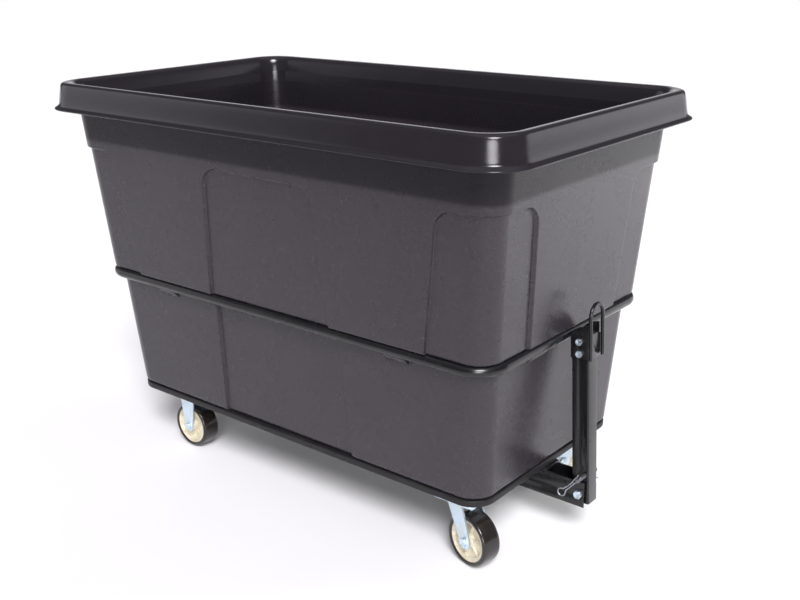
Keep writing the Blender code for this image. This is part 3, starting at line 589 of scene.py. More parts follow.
def thread(radius, start, end, pitch=0.0015, depth=0.0007):
    """Steps of a screw thread as grooves, from start down or up to end."""
    count = max(int(abs(end - start) / pitch), 1)
    step = (end - start) / count
    out = []
    for i in range(count):
        h = start + i * step
        out += [(radius, h + 0.1 * step), (radius - depth, h + 0.5 * step), (radius, h + 0.9 * step)]
    return out


def hexagon_steps(radius, low, high, low_chamfer=False):
    """A hexagon head or nut between two heights, low to high, with turned chamfers."""
    cut = 0.0014 if high > low else -0.0014
    steps = [(radius, low, 1.0)]
    if low_chamfer:
        steps = [(radius * 0.87, low), (radius * 0.985, low + cut * 0.7, 0.9)]
    steps += [(radius, high - cut, 1.0), (radius * 0.955, high - cut * 0.5, 0.75), (radius * 0.85, high)]
    return steps


def hex_bolt(name, radius, head_radius, head_height, length, thread_from):
    """Hexagon-head bolt: its head above zero and its shank down to -length."""
    tip = 0.0012
    steps = [(radius * 0.8, -length), (radius, -length + tip)]
    steps += thread(radius, -length + tip, -thread_from) + [(radius, GAP)]
    steps += [(head_radius * 0.86, GAP)] + hexagon_steps(head_radius, GAP + 0.0006, head_height)
    steps += [(head_radius * 0.55, head_height), (head_radius * 0.50, head_height - 0.0003)]
    return loft(name, turned(steps))


def hex_nut(name, radius, height, bore):
    chamfer = 0.0008
    side = [(radius * 0.87, 0.0), (radius * 0.985, 0.001, 0.9), (radius, 0.0016, 1.0)]
    section = side + [(step[0], height - step[1], *step[2:]) for step in side[::-1]]
    section += [(bore + chamfer, height), (bore + GAP, height - chamfer)]
    section += [(bore + GAP, chamfer), (bore + chamfer, 0.0)]
    return loft(name, turned(section), closed=True)


def floor_bolt_places():
    """Where each bolt goes through the tub's floor, and the face under it that its nut holds."""
    places = {}
    dx, dy = BOLT_SPACING_X / 2, BOLT_SPACING_Y / 2
    for name, (x, y, _) in CASTERS.items():
        spots = ((x - dx, y - dy), (x - dx, y + dy), (x + dx, y - dy), (x + dx, y + dy))
        for number, spot in enumerate(spots, 1):
            places[f"{name}_plate_bolt_{number}"] = (*spot, CASTER_HEIGHT - PLATE_THICKNESS)
    for number, x in enumerate(CHANNEL_BOLTS_X, 1):
        places[f"channel_bolt_{number}"] = (x, 0.0, CHANNEL_BOTTOM)
    return places


def build_floor_bolts():
    """Domed bolts through the tub's floor, each with its nut and spare thread in one piece."""
    head, rise, spare = 0.0085, 0.0042, 0.0028
    top = TUB_BOTTOM + WALL
    for node, (x, y, bottom) in floor_bolt_places().items():
        nut_top = bottom - top - GAP
        nut_low = nut_top - NUT_HEIGHT
        steps = [(head * math.sin(a), GAP + rise * math.cos(a)) for a in np.linspace(0.12, 1.45, 8)]
        steps += [(head, 2 * GAP), (head - GAP, GAP), (BOLT_RADIUS, GAP), (BOLT_RADIUS, nut_top)]
        steps += hexagon_steps(BOLT_HEX, nut_top, nut_low, low_chamfer=True)
        steps += [(BOLT_RADIUS + 0.0002, nut_low)] + thread(BOLT_RADIUS, nut_low, nut_low - spare)
        steps += [(BOLT_RADIUS - 0.0008, nut_low - spare - 0.0002)]
        piece(loft(f"{node}_fine", turned(steps, 24)), node, "zinc_steel", Matrix.Translation((x, y, top)))


# ---------- tub ----------

def upper_half(z):
    return SHELF_HALF + UPPER_DRAFT * (z - SHELF_Z)


def lower_half(z):
    return LOWER_HALF - LOWER_DRAFT * (BAND_Z - z)


def width_half(half, z):
    rise = min(max((z - SHELF_Z) / (SKIRT_TOP - SHELF_Z), 0.0), 1.0)
    return half - HALF_DIFFERENCE - rise * (RIM_HALF_DIFFERENCE - HALF_DIFFERENCE)


def middle_panel_half(z):
    if z < SHELF_Z:
        half, loss = MIDDLE_PANEL_LOW
        return half - loss * (z - TUB_BOTTOM)
    half, loss = MIDDLE_PANEL_HIGH
    return half - loss * (z - PANEL_BASE)


def corner_panel_start(panel, z):
    start, gain = panel
    return start + gain * (z - PANEL_BASE)


# Where the skin has points beside a panel's upright edge, close together on its ramp
EDGE_OFFSETS = (-0.010, -0.003, 0.0, 0.0007, 0.0014, 0.0021, 0.0028, 0.0036, 0.0045, 0.0060, 0.0085, 0.013,
                0.020, 0.030)
FIRST_POINT = 0.012  # from the tub's middle planes
BEFORE_EDGE = 0.008  # left free before the first of a panel edge's points
NEAR = 0.05  # how far from its upright edge a panel is looked for
CORNER_STEPS = 20


def panel_depth(inside, z):
    """Depth of a panel at a point that lies inside its upright edge by so much, at height z."""
    dx = PANEL_ROUND - inside
    dz = z - (PANEL_TOP - PANEL_ROUND)
    if dx > 0 and dz > 0:
        distance = math.hypot(dx, dz) - PANEL_ROUND
    else:
        distance = max(-inside, dz - PANEL_ROUND)
    t = min(max(-distance / PANEL_RAMP, 0.0), 1.0)
    return PANEL_DEPTH * t * t * (3 - 2 * t)


def panel_inward(z):
    drop = min(max(PANEL_TOP - z, 0.0), PANEL_ROUND)
    return PANEL_ROUND - math.sqrt(PANEL_ROUND**2 - (PANEL_ROUND - drop) ** 2)


def tub_ring(half, z, corner, edges_z=None, ends=True, inset=0.0, on_rim=False):
    """One level of the tub's skin: rounded rectangle with the recessed panels pressed in."""
    edges_z = z if edges_z is None else edges_z
    half -= inset
    corner = max(corner - inset, 0.02)
    width = width_half(half, TOP if on_rim else z)
    inward = panel_inward(edges_z)
    middle_edge = middle_panel_half(edges_z)
    side_edge = corner_panel_start(CORNER_PANEL_SIDE, edges_z)
    end_edge = corner_panel_start(CORNER_PANEL_END, edges_z)
    quarter = []

    def add_end(y):
        depth = panel_depth(y - end_edge, edges_z) if ends else 0.0
        quarter.append((half - depth, y))

    def add_side(x):
        depth = 0.0
        if ends and x > side_edge - NEAR:
            depth = panel_depth(x - side_edge, edges_z)
        if x < middle_edge + NEAR:
            depth = panel_depth(middle_edge - x, edges_z)
        quarter.append((x, width - depth))

    first = end_edge + inward + EDGE_OFFSETS[0] - BEFORE_EDGE
    for k in range(5):
        add_end(FIRST_POINT + (first - FIRST_POINT) * k / 4)
    for offset in EDGE_OFFSETS:
        add_end(end_edge + inward + offset)
    depth = panel_depth(1.0, edges_z) if ends else 0.0
    reach = corner - depth
    for step in range(CORNER_STEPS + 1):
        a = math.pi / 2 * step / CORNER_STEPS
        quarter.append((half - corner + reach * math.cos(a), width - corner + reach * math.sin(a)))
    for offset in EDGE_OFFSETS[::-1]:
        add_side(side_edge + inward + offset)
    low = middle_edge - inward - EDGE_OFFSETS[0]
    high = side_edge + inward + EDGE_OFFSETS[0]
    for k in range(5, 0, -1):
        add_side(low + (high - low) * k / 6)
    for offset in EDGE_OFFSETS:
        add_side(middle_edge - inward - offset)
    last = middle_edge - inward - EDGE_OFFSETS[-1] - BEFORE_EDGE
    for k in range(4, 0, -1):
        add_side(FIRST_POINT + (last - FIRST_POINT) * k / 5)
    points = []
    for sx, sy in ((1, 1), (-1, 1), (-1, -1), (1, -1)):
        stretch = quarter if sx * sy > 0 else quarter[::-1]
        points += [(sx * x, sy * y, z) for x, y in stretch]
    return points


def lower_wall(inset, floor, shelf):
    """Levels from the floor, over its fillet and up to the small fillet under the shelf."""
    fillet = INNER_FILLET if inset else FLOOR_FILLET
    base_z = SHELF_Z - 0.002
    rings = []
    for a in (0.0, 0.35, 0.7, 1.05, 1.35):
        z = floor + fillet * (1 - math.cos(a))
        back = fillet * (1 - math.sin(a))
        rings.append(tub_ring(lower_half(z) - back, z, LOWER_CORNER - back, ends=False, inset=inset))
    for z in np.linspace(floor + fillet, shelf - 0.006, 13):
        rings.append(tub_ring(lower_half(z), z, LOWER_CORNER, min(z, base_z), ends=False, inset=inset))
    for out, down in ((0.0, 0.002), (0.0007, 0.0006), (0.0022, 0.0)):
        half = lower_half(shelf) + out
        rings.append(tub_ring(half, shelf - down, LOWER_CORNER, base_z, ends=False, inset=inset))
    return rings


def upper_wall(inset, shelf):
    """Levels from the shelf's rounded edge to the rim, close together over the panels' tops."""
    rings = []
    for back, up in ((0.0040, 0.0), (0.0018, 0.0007), (0.0004, 0.0024)):
        half = upper_half(shelf) - back
        rings.append(tub_ring(half, shelf + up, UPPER_CORNER, SHELF_Z + 0.001, inset=inset))
    levels = [*np.linspace(shelf + 0.006, PANEL_TOP - PANEL_ROUND - 0.012, 12)]
    levels += [*(PANEL_TOP - PANEL_ROUND * (1 - np.sin(np.linspace(0.0, 1.38, 16))))]
    levels += [*np.linspace(PANEL_TOP - 0.0006, PANEL_TOP + 0.0005, 3), PANEL_TOP + 0.004]
    for z in levels + [0.875, 0.905, 0.935, 0.962]:
        rings.append(tub_ring(upper_half(z), z, UPPER_CORNER, inset=inset))
    return rings


def wall_levels(inset, lift):
    """The wall's levels from the floor to the rim, outer skin or inner."""
    shelf = SHELF_Z + lift
    return lower_wall(inset, TUB_BOTTOM + lift, shelf) + upper_wall(inset, shelf)


def rim_levels():
    """The rolled rim: up the wall, out under the top, down the skirt's inside, round its lip and over."""
    base = upper_half(SKIRT_TOP)
    lip = LIP_HALF
    low = SKIRT_BOTTOM
    steps = [
        (base - 0.0024, 0.980), (base - 0.0010, 0.995), (base + 0.0030, SKIRT_TOP),
        (base + 0.0110, TOP - 0.0065), (base + 0.0230, TOP - 0.0065), (base + 0.0275, SKIRT_TOP),
        (lip - 0.0175, 0.966), (lip - 0.0165, low + 0.001), (lip - 0.0020, low),
        (lip, low + 0.001), (lip, low + 0.0035), (lip - 0.0040, low + 0.0060),
        (lip - 0.0095, low + 0.0105), (lip - 0.0118, 0.973), (lip - 0.0168, SKIRT_TOP - 0.001),
        (lip - 0.0195, TOP - 0.0035), (lip - 0.0270, TOP), (lip - 0.0385, TOP),
        (lip - 0.0470, TOP - 0.003), (lip - 0.0535, TOP - 0.013), (base - 0.0026 - WALL, 0.978),
    ]
    return [tub_ring(half, z, UPPER_CORNER + 0.7 * (half - base), on_rim=True) for half, z in chaikin(steps)]


def lug_section(wall, top):
    """A wedge under the band: flat on top, with a short nose and a long slope back to the wall."""
    root = wall - 0.003
    return [(root, top), (wall + LUG_REACH, top), (wall + LUG_REACH - 0.0012, top - 0.004),
            (root, top - LUG_HEIGHT)]


def build_tub():
    rings = wall_levels(0.0, 0.0) + rim_levels() + wall_levels(WALL, WALL)[::-1]
    piece(loft("tub_shell", rings), "tub", "tub_plastic", sharp=50.0, weighted=True)
    top = BAND_Z - BAND_RADIUS - GAP
    half = lower_half(top)
    ends = (-LUG_LENGTH / 2, LUG_LENGTH / 2)
    wedges = []
    for sign in (-1, 1):
        for x in (-SIDE_LUG_X, SIDE_LUG_X):
            section = lug_section(half - HALF_DIFFERENCE, top)
            wedges.append([[(x + end, sign * y, z) for y, z in section] for end in ends])
        for y in (-END_LUG_Y, END_LUG_Y):
            wedges.append([[(sign * x, y + end, z) for x, z in lug_section(half, top)] for end in ends])
    lugs = loft("tub_lugs", *wedges)
    soften(lugs, 0.0014, 3)
    piece(lugs, "tub", "tub_plastic", stands=False)


def build_band():
    path = rectangle(BAND_HALF, BAND_HALF - HALF_DIFFERENCE, BAND_CORNER, 18)
    longest = 0.2  # a longer stretch is divided, so that the tube's rings stay even
    points = []
    for a, b in zip(path, path[1:] + path[:1]):
        points.append((*a, BAND_Z))
        if math.dist(a, b) > longest:
            points += [(*Vector(a).lerp(Vector(b), k / 8), BAND_Z) for k in range(1, 8)]
    piece(rod("band_tube", points, BAND_RADIUS, 28, closed=True), "frame_band", "black_steel")


def build_deck():
    half = lower_half(TUB_BOTTOM)
    outline = rectangle(half, half - HALF_DIFFERENCE, LOWER_CORNER, 16)
    deck = plate_xy("deck_panel", outline, DECK_BOTTOM, DECK_TOP)
    soften(deck, 0.0022, 3)
    piece(deck, "base_deck", "deck_board")


# ---------- casters ----------

def leg_outline(axle_x, top_z, leg):
    """A fork leg in X and Z: straight across its top, tapering to a round end about the axle."""
    top_half, end_radius = leg
    outline = [(top_half, top_z), (-top_half, top_z)]
    for step in range(25):
        a = math.radians(170 + 200 * step / 24)
        outline.append((axle_x + end_radius * math.cos(a), WHEEL_RADIUS + end_radius * math.sin(a)))
    return outline


def build_legs(axle_x, top_z, leg):
    outline = leg_outline(axle_x, top_z, leg)
    outer = LEG_INNER + LEG_THICKNESS
    return [plate_xz("leg", outline, low, high) for low, high in ((-outer, -LEG_INNER), (LEG_INNER, outer))]


def axle_hole(axle_x):
    return cross_hole(axle_x, WHEEL_RADIUS, AXLE_RADIUS + RUNNING, 24)


def mirrored(side):
    """A whole (radius, along) section from its half, whose last point is on the middle."""
    return side + [(r, -h) for r, h in side[-2::-1]]


def hub_ribs():
    """Six low ribs on each side of the hub's thin middle."""
    outline = round_polygon([(0.0150, -0.0022), (0.0436, -0.0016), (0.0436, 0.0016), (0.0150, 0.0022)],
                            [0.0005] * 4, 2)
    ribs = []
    for k in range(6):
        turn = Matrix.Rotation(math.radians(60 * k + 14), 4, "Z")
        for heights in ((0.0100, 0.0172), (-0.0172, -0.0100)):
            ribs.append([[tuple(turn @ Vector((x, y, z))) for x, y in outline] for z in heights])
    return loft("ribs", *ribs)


def build_wheel(name, matrix, axle_x):
    """Polished tread with round shoulders, on a hub with a raised rim, ribs and boss."""
    centre = matrix @ Matrix.Translation((axle_x, 0.0, WHEEL_RADIUS)) @ Matrix.Rotation(math.pi / 2, 4, "X")
    crown = WHEEL_RADIUS - 0.0001
    shoulder = [(crown - 0.0115, 0.0232), (crown - 0.0100, 0.0245), (crown - 0.0066, 0.0250),
                (crown - 0.0045, 0.0247), (crown - 0.0020, 0.0228), (crown - 0.0007, 0.0192),
                (crown - 0.0002, 0.0120), (crown, 0.0)]
    seat, seat_half = 0.0526, 0.0230
    section = [(seat, -seat_half)] + chaikin(mirrored(shoulder))[::-1] + [(seat, seat_half)]
    piece(revolved(f"{name}_tread_fine", section, 128), f"{name}_tread", "tread", centre, sharp=45.0)
    side = [(0.0520, 0.0), (0.0520, 0.0221), (0.0516, 0.0225), (0.0480, 0.0227), (0.0472, 0.0222),
            (0.0468, 0.0207), (0.0455, 0.0203), (0.0440, 0.0200), (0.0428, 0.0135), (0.0400, 0.0122),
            (0.0240, 0.0118), (0.0185, 0.0126), (0.0168, 0.0160), (0.0160, 0.0246), (0.0152, 0.0254),
            (0.0085, 0.0255), (0.0068, 0.0250), (0.0066, 0.0)]
    hub = revolved(f"{name}_hub_fine", mirrored(side)[:-1])
    combine(hub, [hub_ribs()], "UNION")
    soften(hub, 0.0004, 2, 35.0)
    piece(hub, f"{name}_hub", "hub_plastic", centre)


def build_axle(name, matrix, axle_x, outward):
    reach = LEG_INNER + LEG_THICKNESS
    bolt = hex_bolt(f"{name}_axle_bolt_fine", AXLE_RADIUS, AXLE_HEX, 0.0055, 2 * reach + 0.0133,
                    2 * reach - 0.004)
    place = matrix @ along_y((axle_x, outward * reach, WHEEL_RADIUS), outward)
    piece(bolt, f"{name}_axle_bolt", "zinc_steel", place)
    nut = hex_nut(f"{name}_axle_nut_fine", AXLE_HEX, 0.008, AXLE_RADIUS)
    place = matrix @ along_y((axle_x, -outward * (reach + GAP), WHEEL_RADIUS), -outward)
    piece(nut, f"{name}_axle_nut", "zinc_steel", place)


def caster_plate(name):
    outline = rectangle(PLATE_X / 2, PLATE_Y / 2, PLATE_CORNER)
    return plate_xy(name, outline, CASTER_HEIGHT - PLATE_THICKNESS, CASTER_HEIGHT)


def kingpin_bore(top):
    return loft("bore", turned([(AXLE_RADIUS + RUNNING, 0.14), (AXLE_RADIUS + RUNNING, top)], 32))


def build_rigid_caster(name, place, outward):
    fork = caster_plate(f"{name}_fork_fine")
    combine(fork, build_legs(0.0, CASTER_HEIGHT - PLATE_THICKNESS / 2, RIGID_LEG), "UNION")
    combine(fork, [axle_hole(0.0)])
    soften(fork, 0.0009, 2)
    piece(fork, f"{name}_fork", "zinc_steel", place)
    build_wheel(name, place, 0.0)
    build_axle(name, place, 0.0, outward)


def build_swivel_caster(name, place, outward, turn):
    plate = caster_plate(f"{name}_plate_fine")
    race = loft("race", turned([(0.0285, 0.1518), (0.0300, 0.1526), (0.0305, 0.1548), (0.0330, 0.1560),
                                (0.0352, 0.1580), (0.0360, 0.1612)], 64))
    combine(plate, [race], "UNION")
    combine(plate, [kingpin_bore(CASTER_HEIGHT - 0.0015)])
    soften(plate, 0.0007, 2)
    piece(plate, f"{name}_plate", "zinc_steel", place)
    pin = [(0.0075, 0.1398), (0.0095, 0.1400), (0.0110, 0.1415), (0.0110, 0.1458), (0.0105, 0.1462),
           (AXLE_RADIUS, 0.1462), (AXLE_RADIUS, CASTER_HEIGHT - 0.0018)]
    piece(loft(f"{name}_kingpin_fine", turned(pin, 40)), f"{name}_kingpin", "zinc_steel", place)
    crown = [(0.0345, 0.1465), (0.0356, 0.1470), (0.0360, 0.1482), (0.0360, 0.1500), (0.0354, 0.1511),
             (0.0342, 0.1515)]
    fork = loft(f"{name}_fork_fine", turned(crown, 64))
    combine(fork, build_legs(TRAIL, SWIVEL_LEG_TOP, SWIVEL_LEG), "UNION")
    combine(fork, [kingpin_bore(0.16), axle_hole(TRAIL)])
    soften(fork, 0.0008, 2)
    turned_place = place @ Matrix.Rotation(turn, 4, "Z")
    piece(fork, f"{name}_fork", "zinc_steel", turned_place)
    build_wheel(name, turned_place, TRAIL)
    build_axle(name, turned_place, TRAIL, outward)


def build_casters():
    for name, (x, y, turn) in CASTERS.items():
        place = Matrix.Translation((x, y, 0.0))
        outward = 1.0 if y > 0 else -1.0
        if name.startswith("rear"):
            build_rigid_caster(name, place, outward)
        else:
            build_swivel_caster(name, place, outward, turn)


# ---------- hitch ----------

def build_channel():
    """Rolled channel with round bends, its foot cut away between the flanges, and its pads."""
    inner = CHANNEL_HALF - CHANNEL_STEEL
    low = CHANNEL_BOTTOM
    bend = 0.0045
    section = [(-CHANNEL_HALF, CHANNEL_TOP), (-CHANNEL_HALF, low), (CHANNEL_HALF, low),
               (CHANNEL_HALF, CHANNEL_TOP), (inner, CHANNEL_TOP), (inner, low + CHANNEL_STEEL),
               (-inner, low + CHANNEL_STEEL), (-inner, CHANNEL_TOP)]
    outline = round_polygon(section, [0.0006, bend, bend, 0.0006, 0.0006, 0.002, 0.002, 0.0006])
    beam = plate_yz("channel_beam", outline, CHANNEL_START, CHANNEL_END)
    slot = loft("slot", box((WEB_END, CHANNEL_END + 0.02), (-inner, inner), (low - 0.01, low + 0.012)))
    combine(beam, [slot, cross_hole(PIVOT.x, PIVOT.z, PIVOT_RADIUS + RUNNING)])
    soften(beam, 0.0005, 2, 40.0)
    piece(beam, "hitch_channel", "black_steel", sharp=30.0)
    heights = (CHANNEL_TOP - 0.0008, PAD_TOP)
    pads = loft("channel_pads", *[box(ends, (-PAD_HALF, PAD_HALF), heights) for ends in PADS_X])
    soften(pads, 0.0008, 2)
    piece(pads, "hitch_channel", "black_steel", stands=False)


def sleeve_holes():
    return [cross_hole(0.0, z, BOLT_RADIUS + RUNNING) for z in SLEEVE_BOLTS_Z]


def build_bar():
    tube = plate_xy("tow_tube", rectangle(BAR_HALF_X, BAR_HALF_Y, 0.0036), *BAR_ENDS)
    bore = plate_xy("bore", rectangle(BAR_HALF_X - BAR_STEEL, BAR_HALF_Y - BAR_STEEL, 0.0014, 4), -0.05, 0.45)
    holes = [cross_hole(0.0, 0.0, PIVOT_RADIUS + RUNNING), cross_hole(LOCK_X, LOCK_Z, LOCK_RADIUS + RUNNING)]
    combine(tube, [bore, *holes, *sleeve_holes()])
    soften(tube, 0.0004, 2, 45.0)
    piece(tube, "tow_bar", "black_steel", BAR_FRAME, sharp=30.0)


def build_sleeve():
    """Folded sleeve round the bar's top, its web cut lower than its cheeks, whose tops slope."""
    inner, outer, web, front, back = SLEEVE_INNER, SLEEVE_OUTER, SLEEVE_WEB, SLEEVE_FRONT, -BAR_HALF_X
    section = [(back, -outer), (front, -outer), (front, outer), (back, outer),
               (back, inner), (web, inner), (web, -inner), (back, -inner)]
    outline = round_polygon(section, [0.0, 0.0042, 0.0042, 0.0, 0.0, 0.0009, 0.0009, 0.0])
    sleeve = plate_xy("sleeve_plate", outline, *SLEEVE_ENDS)
    slope = [(-0.05, 0.3689), (0.002, 0.412), (0.05, 0.4234), (0.05, 0.46), (-0.05, 0.46)]
    top = plate_xz("slope", round_polygon(slope, [0.0, 0.012, 0.0, 0.0, 0.0], 6), -0.05, 0.05)
    gap_half = inner - 0.0012
    cut = loft("web_cut", box((web - 0.002, front + 0.01), (-gap_half, gap_half), (SLEEVE_WEB_TOP, 0.45)))
    combine(sleeve, [cut, top, *sleeve_holes()])
    soften(sleeve, 0.0005, 2, 40.0)
    piece(sleeve, "coupler_sleeve", "black_steel", BAR_FRAME, sharp=30.0)
    for number, z in enumerate(SLEEVE_BOLTS_Z, 1):
        bolt = hex_bolt(f"sleeve_bolt_{number}_fine", BOLT_RADIUS, 0.0085, 0.0055, 2 * outer + 0.0103,
                        2 * outer - 0.004)
        piece(bolt, f"sleeve_bolt_{number}", "zinc_steel", BAR_FRAME @ along_y((0, -outer, z), -1.0))
        nut = hex_nut(f"sleeve_nut_{number}_fine", BOLT_HEX, NUT_HEIGHT, BOLT_RADIUS)
        piece(nut, f"sleeve_nut_{number}", "zinc_steel", BAR_FRAME @ along_y((0, outer + GAP, z)))


def build_loop():
    """Lift loop: two legs welded to the sleeve's web, joined by half a ring, and their weld beads."""
    x = SLEEVE_FRONT + GAP + ROD_RADIUS
    leg = [LOOP_BOTTOM + 0.0248 * k for k in range(4)]
    points = [(x, -LOOP_HALF, z) for z in leg]
    for a in np.linspace(0, math.pi, 29):
        points.append((x, -LOOP_HALF * math.cos(a), LOOP_STRAIGHT + LOOP_HALF * math.sin(a)))
    points += [(x, LOOP_HALF, z) for z in leg[::-1]]
    piece(rod("loop_bar", points, ROD_RADIUS, 24), "coupler_loop", "black_steel", BAR_FRAME)
    for side, name in ((-1, "weld_bead_right"), (1, "weld_bead_left")):
        bead = []
        for k in range(40):
            z = 0.345 + 0.046 * k / 39
            radius = 0.0021 + 0.0004 * math.sin(k * 1.9)
            y = side * (0.0226 + 0.0002 * math.sin(k * 2.3))
            bead.append([(SLEEVE_FRONT + 0.0010 + radius * math.cos(a), y + radius * math.sin(a), z)
                         for a in np.linspace(0, 2 * math.pi, 11)[:-1]])
        piece(loft(name, bead), "coupler_sleeve", "black_steel", BAR_FRAME, stands=False, sharp=80.0)


def build_pivot():
    width = 2 * CHANNEL_HALF
    bolt = hex_bolt("pivot_bolt_fine", PIVOT_RADIUS, PIVOT_HEX, 0.0075, width + 0.0383, width - 0.004)
    piece(bolt, "pivot_bolt", "zinc_steel", along_y(PIVOT + Vector((0, -CHANNEL_HALF, 0)), -1.0))
    nut = hex_nut("pivot_nut_fine", PIVOT_HEX, 0.010, PIVOT_RADIUS)
    piece(nut, "pivot_nut", "zinc_steel", along_y(PIVOT + Vector((0, CHANNEL_HALF + GAP, 0))))
    low, high = SPACER_ENDS
    bore, outer, cut = PIVOT_RADIUS + RUNNING, SPACER_RADIUS, 0.0005
    section = [(bore, low), (outer - cut, low), (outer, low + cut), (outer, high - cut), (outer - cut, high),
               (bore, high)]
    for node, sign in (("pivot_spacer_left", 1.0), ("pivot_spacer_right", -1.0)):
        piece(revolved(f"{node}_fine", section, 48), node, "nylon", along_y(PIVOT, sign))


def build_lock_pin(clip_frame):
    radius, near, head = LOCK_RADIUS, LOCK_NEAR, SLEEVE_INNER
    steps = [(radius - 0.0020, near), (radius - 0.0007, near + 0.0004), (radius, near + 0.0014),
             (radius, head), (0.0085, head), (0.0090, head + 0.0006), (0.0090, head + 0.0024),
             (0.0080, head + 0.0036), (0.0060, head + 0.0040)]
    pin = loft("lock_pin_fine", turned(steps, 32))
    pin.data.transform(along_y((LOCK_X, 0, LOCK_Z)))
    hole = loft("hole", turned([(CLIP_WIRE + GAP, -0.01), (CLIP_WIRE + GAP, 0.01)], 16))
    hole.data.transform(clip_frame)
    combine(pin, [hole])
    piece(pin, "lock_pin", "dark_steel", BAR_FRAME)


def build_clip(clip_frame):
    """R clip: a straight leg through the pin, a ring past its neck, and a waved leg back."""
    points = [(0.0, z) for z in (-0.011, 0.0, 0.012, 0.030, CLIP_NECK - 0.004)]
    for step in range(13):
        a = math.radians(215 - 275 * step / 12)
        points.append((CLIP_RING * (0.45 + math.cos(a)), CLIP_NECK + CLIP_RING * (1 + math.sin(a))))
    points += [(0.0068, CLIP_NECK - 0.006), (0.0050, 0.030), (0.0048, 0.020), (0.0062, 0.011),
               (0.0069, 0.005), (0.0069, -0.003), (0.0089, -0.009)]
    route = [clip_frame @ Vector((x, 0.0, z)) for x, z in points]
    piece(rod("clip_wire", smooth_line(route, 4), CLIP_WIRE, 12), "r_clip", "zinc_steel", BAR_FRAME,
          look="clip_wire")


def build_pins():
    clip_turn = Matrix.Rotation(1.5 * math.pi - CLIP_ANGLE, 4, "Y")
    clip_frame = Matrix.Translation((LOCK_X, CLIP_Y, LOCK_Z)) @ clip_turn
    build_pivot()
    build_lock_pin(clip_frame)
    build_clip(clip_frame)


# ---------- stage ----------

SKY_TINT = (0.985, 0.965, 1.0, 1.0)
SKY_BASE = 0.13
SKY_PATCHES = (
    # azimuth from -Y toward +X, elevation, inner and outer angle, strength
    (45.0, 44.0, 7.0, 14.0, 31.0),
    (39.0, 9.0, 4.0, 15.0, 14.0),
    (0.0, 90.0, 15.0, 50.0, 0.45),
    (152.0, 4.0, 10.0, 26.0, 1.5),
    (-140.0, 3.0, 8.0, 24.0, 0.9),
    (-66.0, 12.0, 8.0, 26.0, 1.1),
)
LAMP_PLACE = Vector((3.0, 3.6, 2.2))
LAMP_TARGET = Vector((1.6, 1.8, 0.0))
LAMP_SIZE = (2.5, 1.5)
LAMP_WATTS = 110.0
FLOOR_SHADE_SPAN = (-1.4, -2.6)  # in Y: painted shade, the floor's colour darkens between them, toward the camera
CAMERA_PLACE = (1.759991, -1.991740, 1.359669)
CAMERA_AZIMUTH = math.radians(39.2896)
CAMERA_ELEVATION = math.radians(18.7882)
CAMERA_ROLL = math.radians(-0.7028)
CAMERA_LENS = 47.5965
CAMERA_SENSOR = 36.0


def sky_light(tree):
    """Soft patches of light round the stage, each fading from its inner to its outer angle."""
    place = tree.nodes.new("ShaderNodeTexCoord")
    total = None
    for azimuth, elevation, inner, outer, strength in SKY_PATCHES:
        turn, lift = math.radians(azimuth), math.radians(elevation)
        facing = tree.nodes.new("ShaderNodeVectorMath")
        facing.operation = "DOT_PRODUCT"
        facing.inputs[1].default_value = (math.sin(turn) * math.cos(lift), -math.cos(turn) * math.cos(lift),
                                          math.sin(lift))
        tree.links.new(place.outputs["Generated"], facing.inputs[0])
        patch = tree.nodes.new("ShaderNodeMapRange")
        patch.interpolation_type = "SMOOTHSTEP"
        patch.inputs["From Min"].default_value = math.cos(math.radians(outer))
        patch.inputs["From Max"].default_value = math.cos(math.radians(inner))
        patch.inputs["To Min"].default_value = 0.0
        patch.inputs["To Max"].default_value = strength
        tree.links.new(facing.outputs["Value"], patch.inputs["Value"])
        add = tree.nodes.new("ShaderNodeMath")
        add.inputs[1].default_value = SKY_BASE
        if total:
            tree.links.new(total, add.inputs[1])
        tree.links.new(patch.outputs["Result"], add.inputs[0])
        total = add.outputs["Value"]
    return total


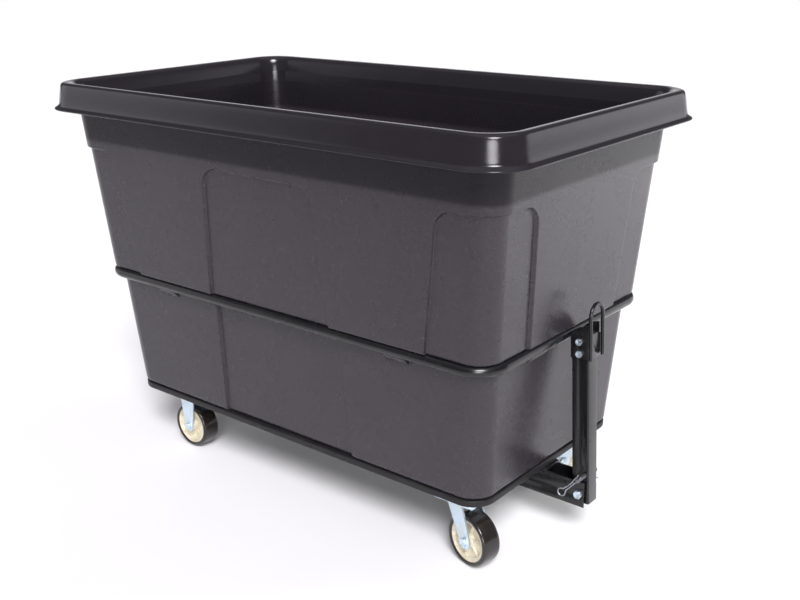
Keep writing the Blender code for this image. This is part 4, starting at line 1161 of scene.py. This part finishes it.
def build_floor():
    floor = plate_xy("floor", rectangle(40.0, 40.0, 5.0, 8), -0.02, 0.0)
    s = Shader("floor_paint", 0.8, specular=0.1)
    base = s.ramp(s.noise(0.7, 2.0), [(0.3, (0.88, 0.88, 0.882)), (0.7, (0.90, 0.90, 0.902))])
    # painted shade: the floor's colour darkens toward the camera
    s.colour(s.mix(s.span(s.along("Y"), *FLOOR_SHADE_SPAN, 0.0, 1.0), base, (0.60, 0.60, 0.602)))
    floor.data.materials.append(s.material)


def build_world():
    """White where the camera looks past the floor, and the sky's patches for everything else."""
    world = bpy.data.worlds.new("studio")
    bpy.context.scene.world = world
    world.use_nodes = True
    tree = world.node_tree
    background = tree.nodes["Background"]
    background.inputs["Color"].default_value = SKY_TINT
    path = tree.nodes.new("ShaderNodeLightPath")
    seen = tree.nodes.new("ShaderNodeMix")
    seen.inputs["B"].default_value = 1.0
    tree.links.new(path.outputs["Is Camera Ray"], seen.inputs["Factor"])
    tree.links.new(sky_light(tree), seen.inputs["A"])
    tree.links.new(seen.outputs["Result"], background.inputs["Strength"])


def build_lamp():
    """Soft light from behind on the right, which shows in no reflection."""
    light = bpy.data.lights.new("right_back", "AREA")
    light.shape = "RECTANGLE"
    light.size, light.size_y = LAMP_SIZE
    light.energy = LAMP_WATTS
    lamp = bpy.data.objects.new("right_back", light)
    bpy.context.scene.collection.objects.link(lamp)
    lamp.location = LAMP_PLACE
    lamp.visible_glossy = False
    lamp.rotation_euler = (LAMP_TARGET - LAMP_PLACE).to_track_quat("-Z", "Y").to_euler()


def build_camera():
    camera = bpy.data.cameras.new("camera")
    camera.sensor_width = CAMERA_SENSOR
    camera.lens = CAMERA_LENS
    holder = bpy.data.objects.new("camera", camera)
    bpy.context.scene.collection.objects.link(holder)
    facing = Matrix.Rotation(CAMERA_AZIMUTH, 4, "Z") @ Matrix.Rotation(math.pi / 2 - CAMERA_ELEVATION, 4, "X")
    holder.matrix_world = Matrix.Translation(CAMERA_PLACE) @ facing @ Matrix.Rotation(CAMERA_ROLL, 4, "Z")
    bpy.context.scene.camera = holder
    bpy.context.scene.view_settings.view_transform = "Standard"


build_camera()
build_floor()
build_world()
build_lamp()
build_tub()
build_band()
build_deck()
build_floor_bolts()
build_casters()
build_channel()
build_bar()
build_sleeve()
build_loop()
build_pins()

bpy.context.view_layer.update()
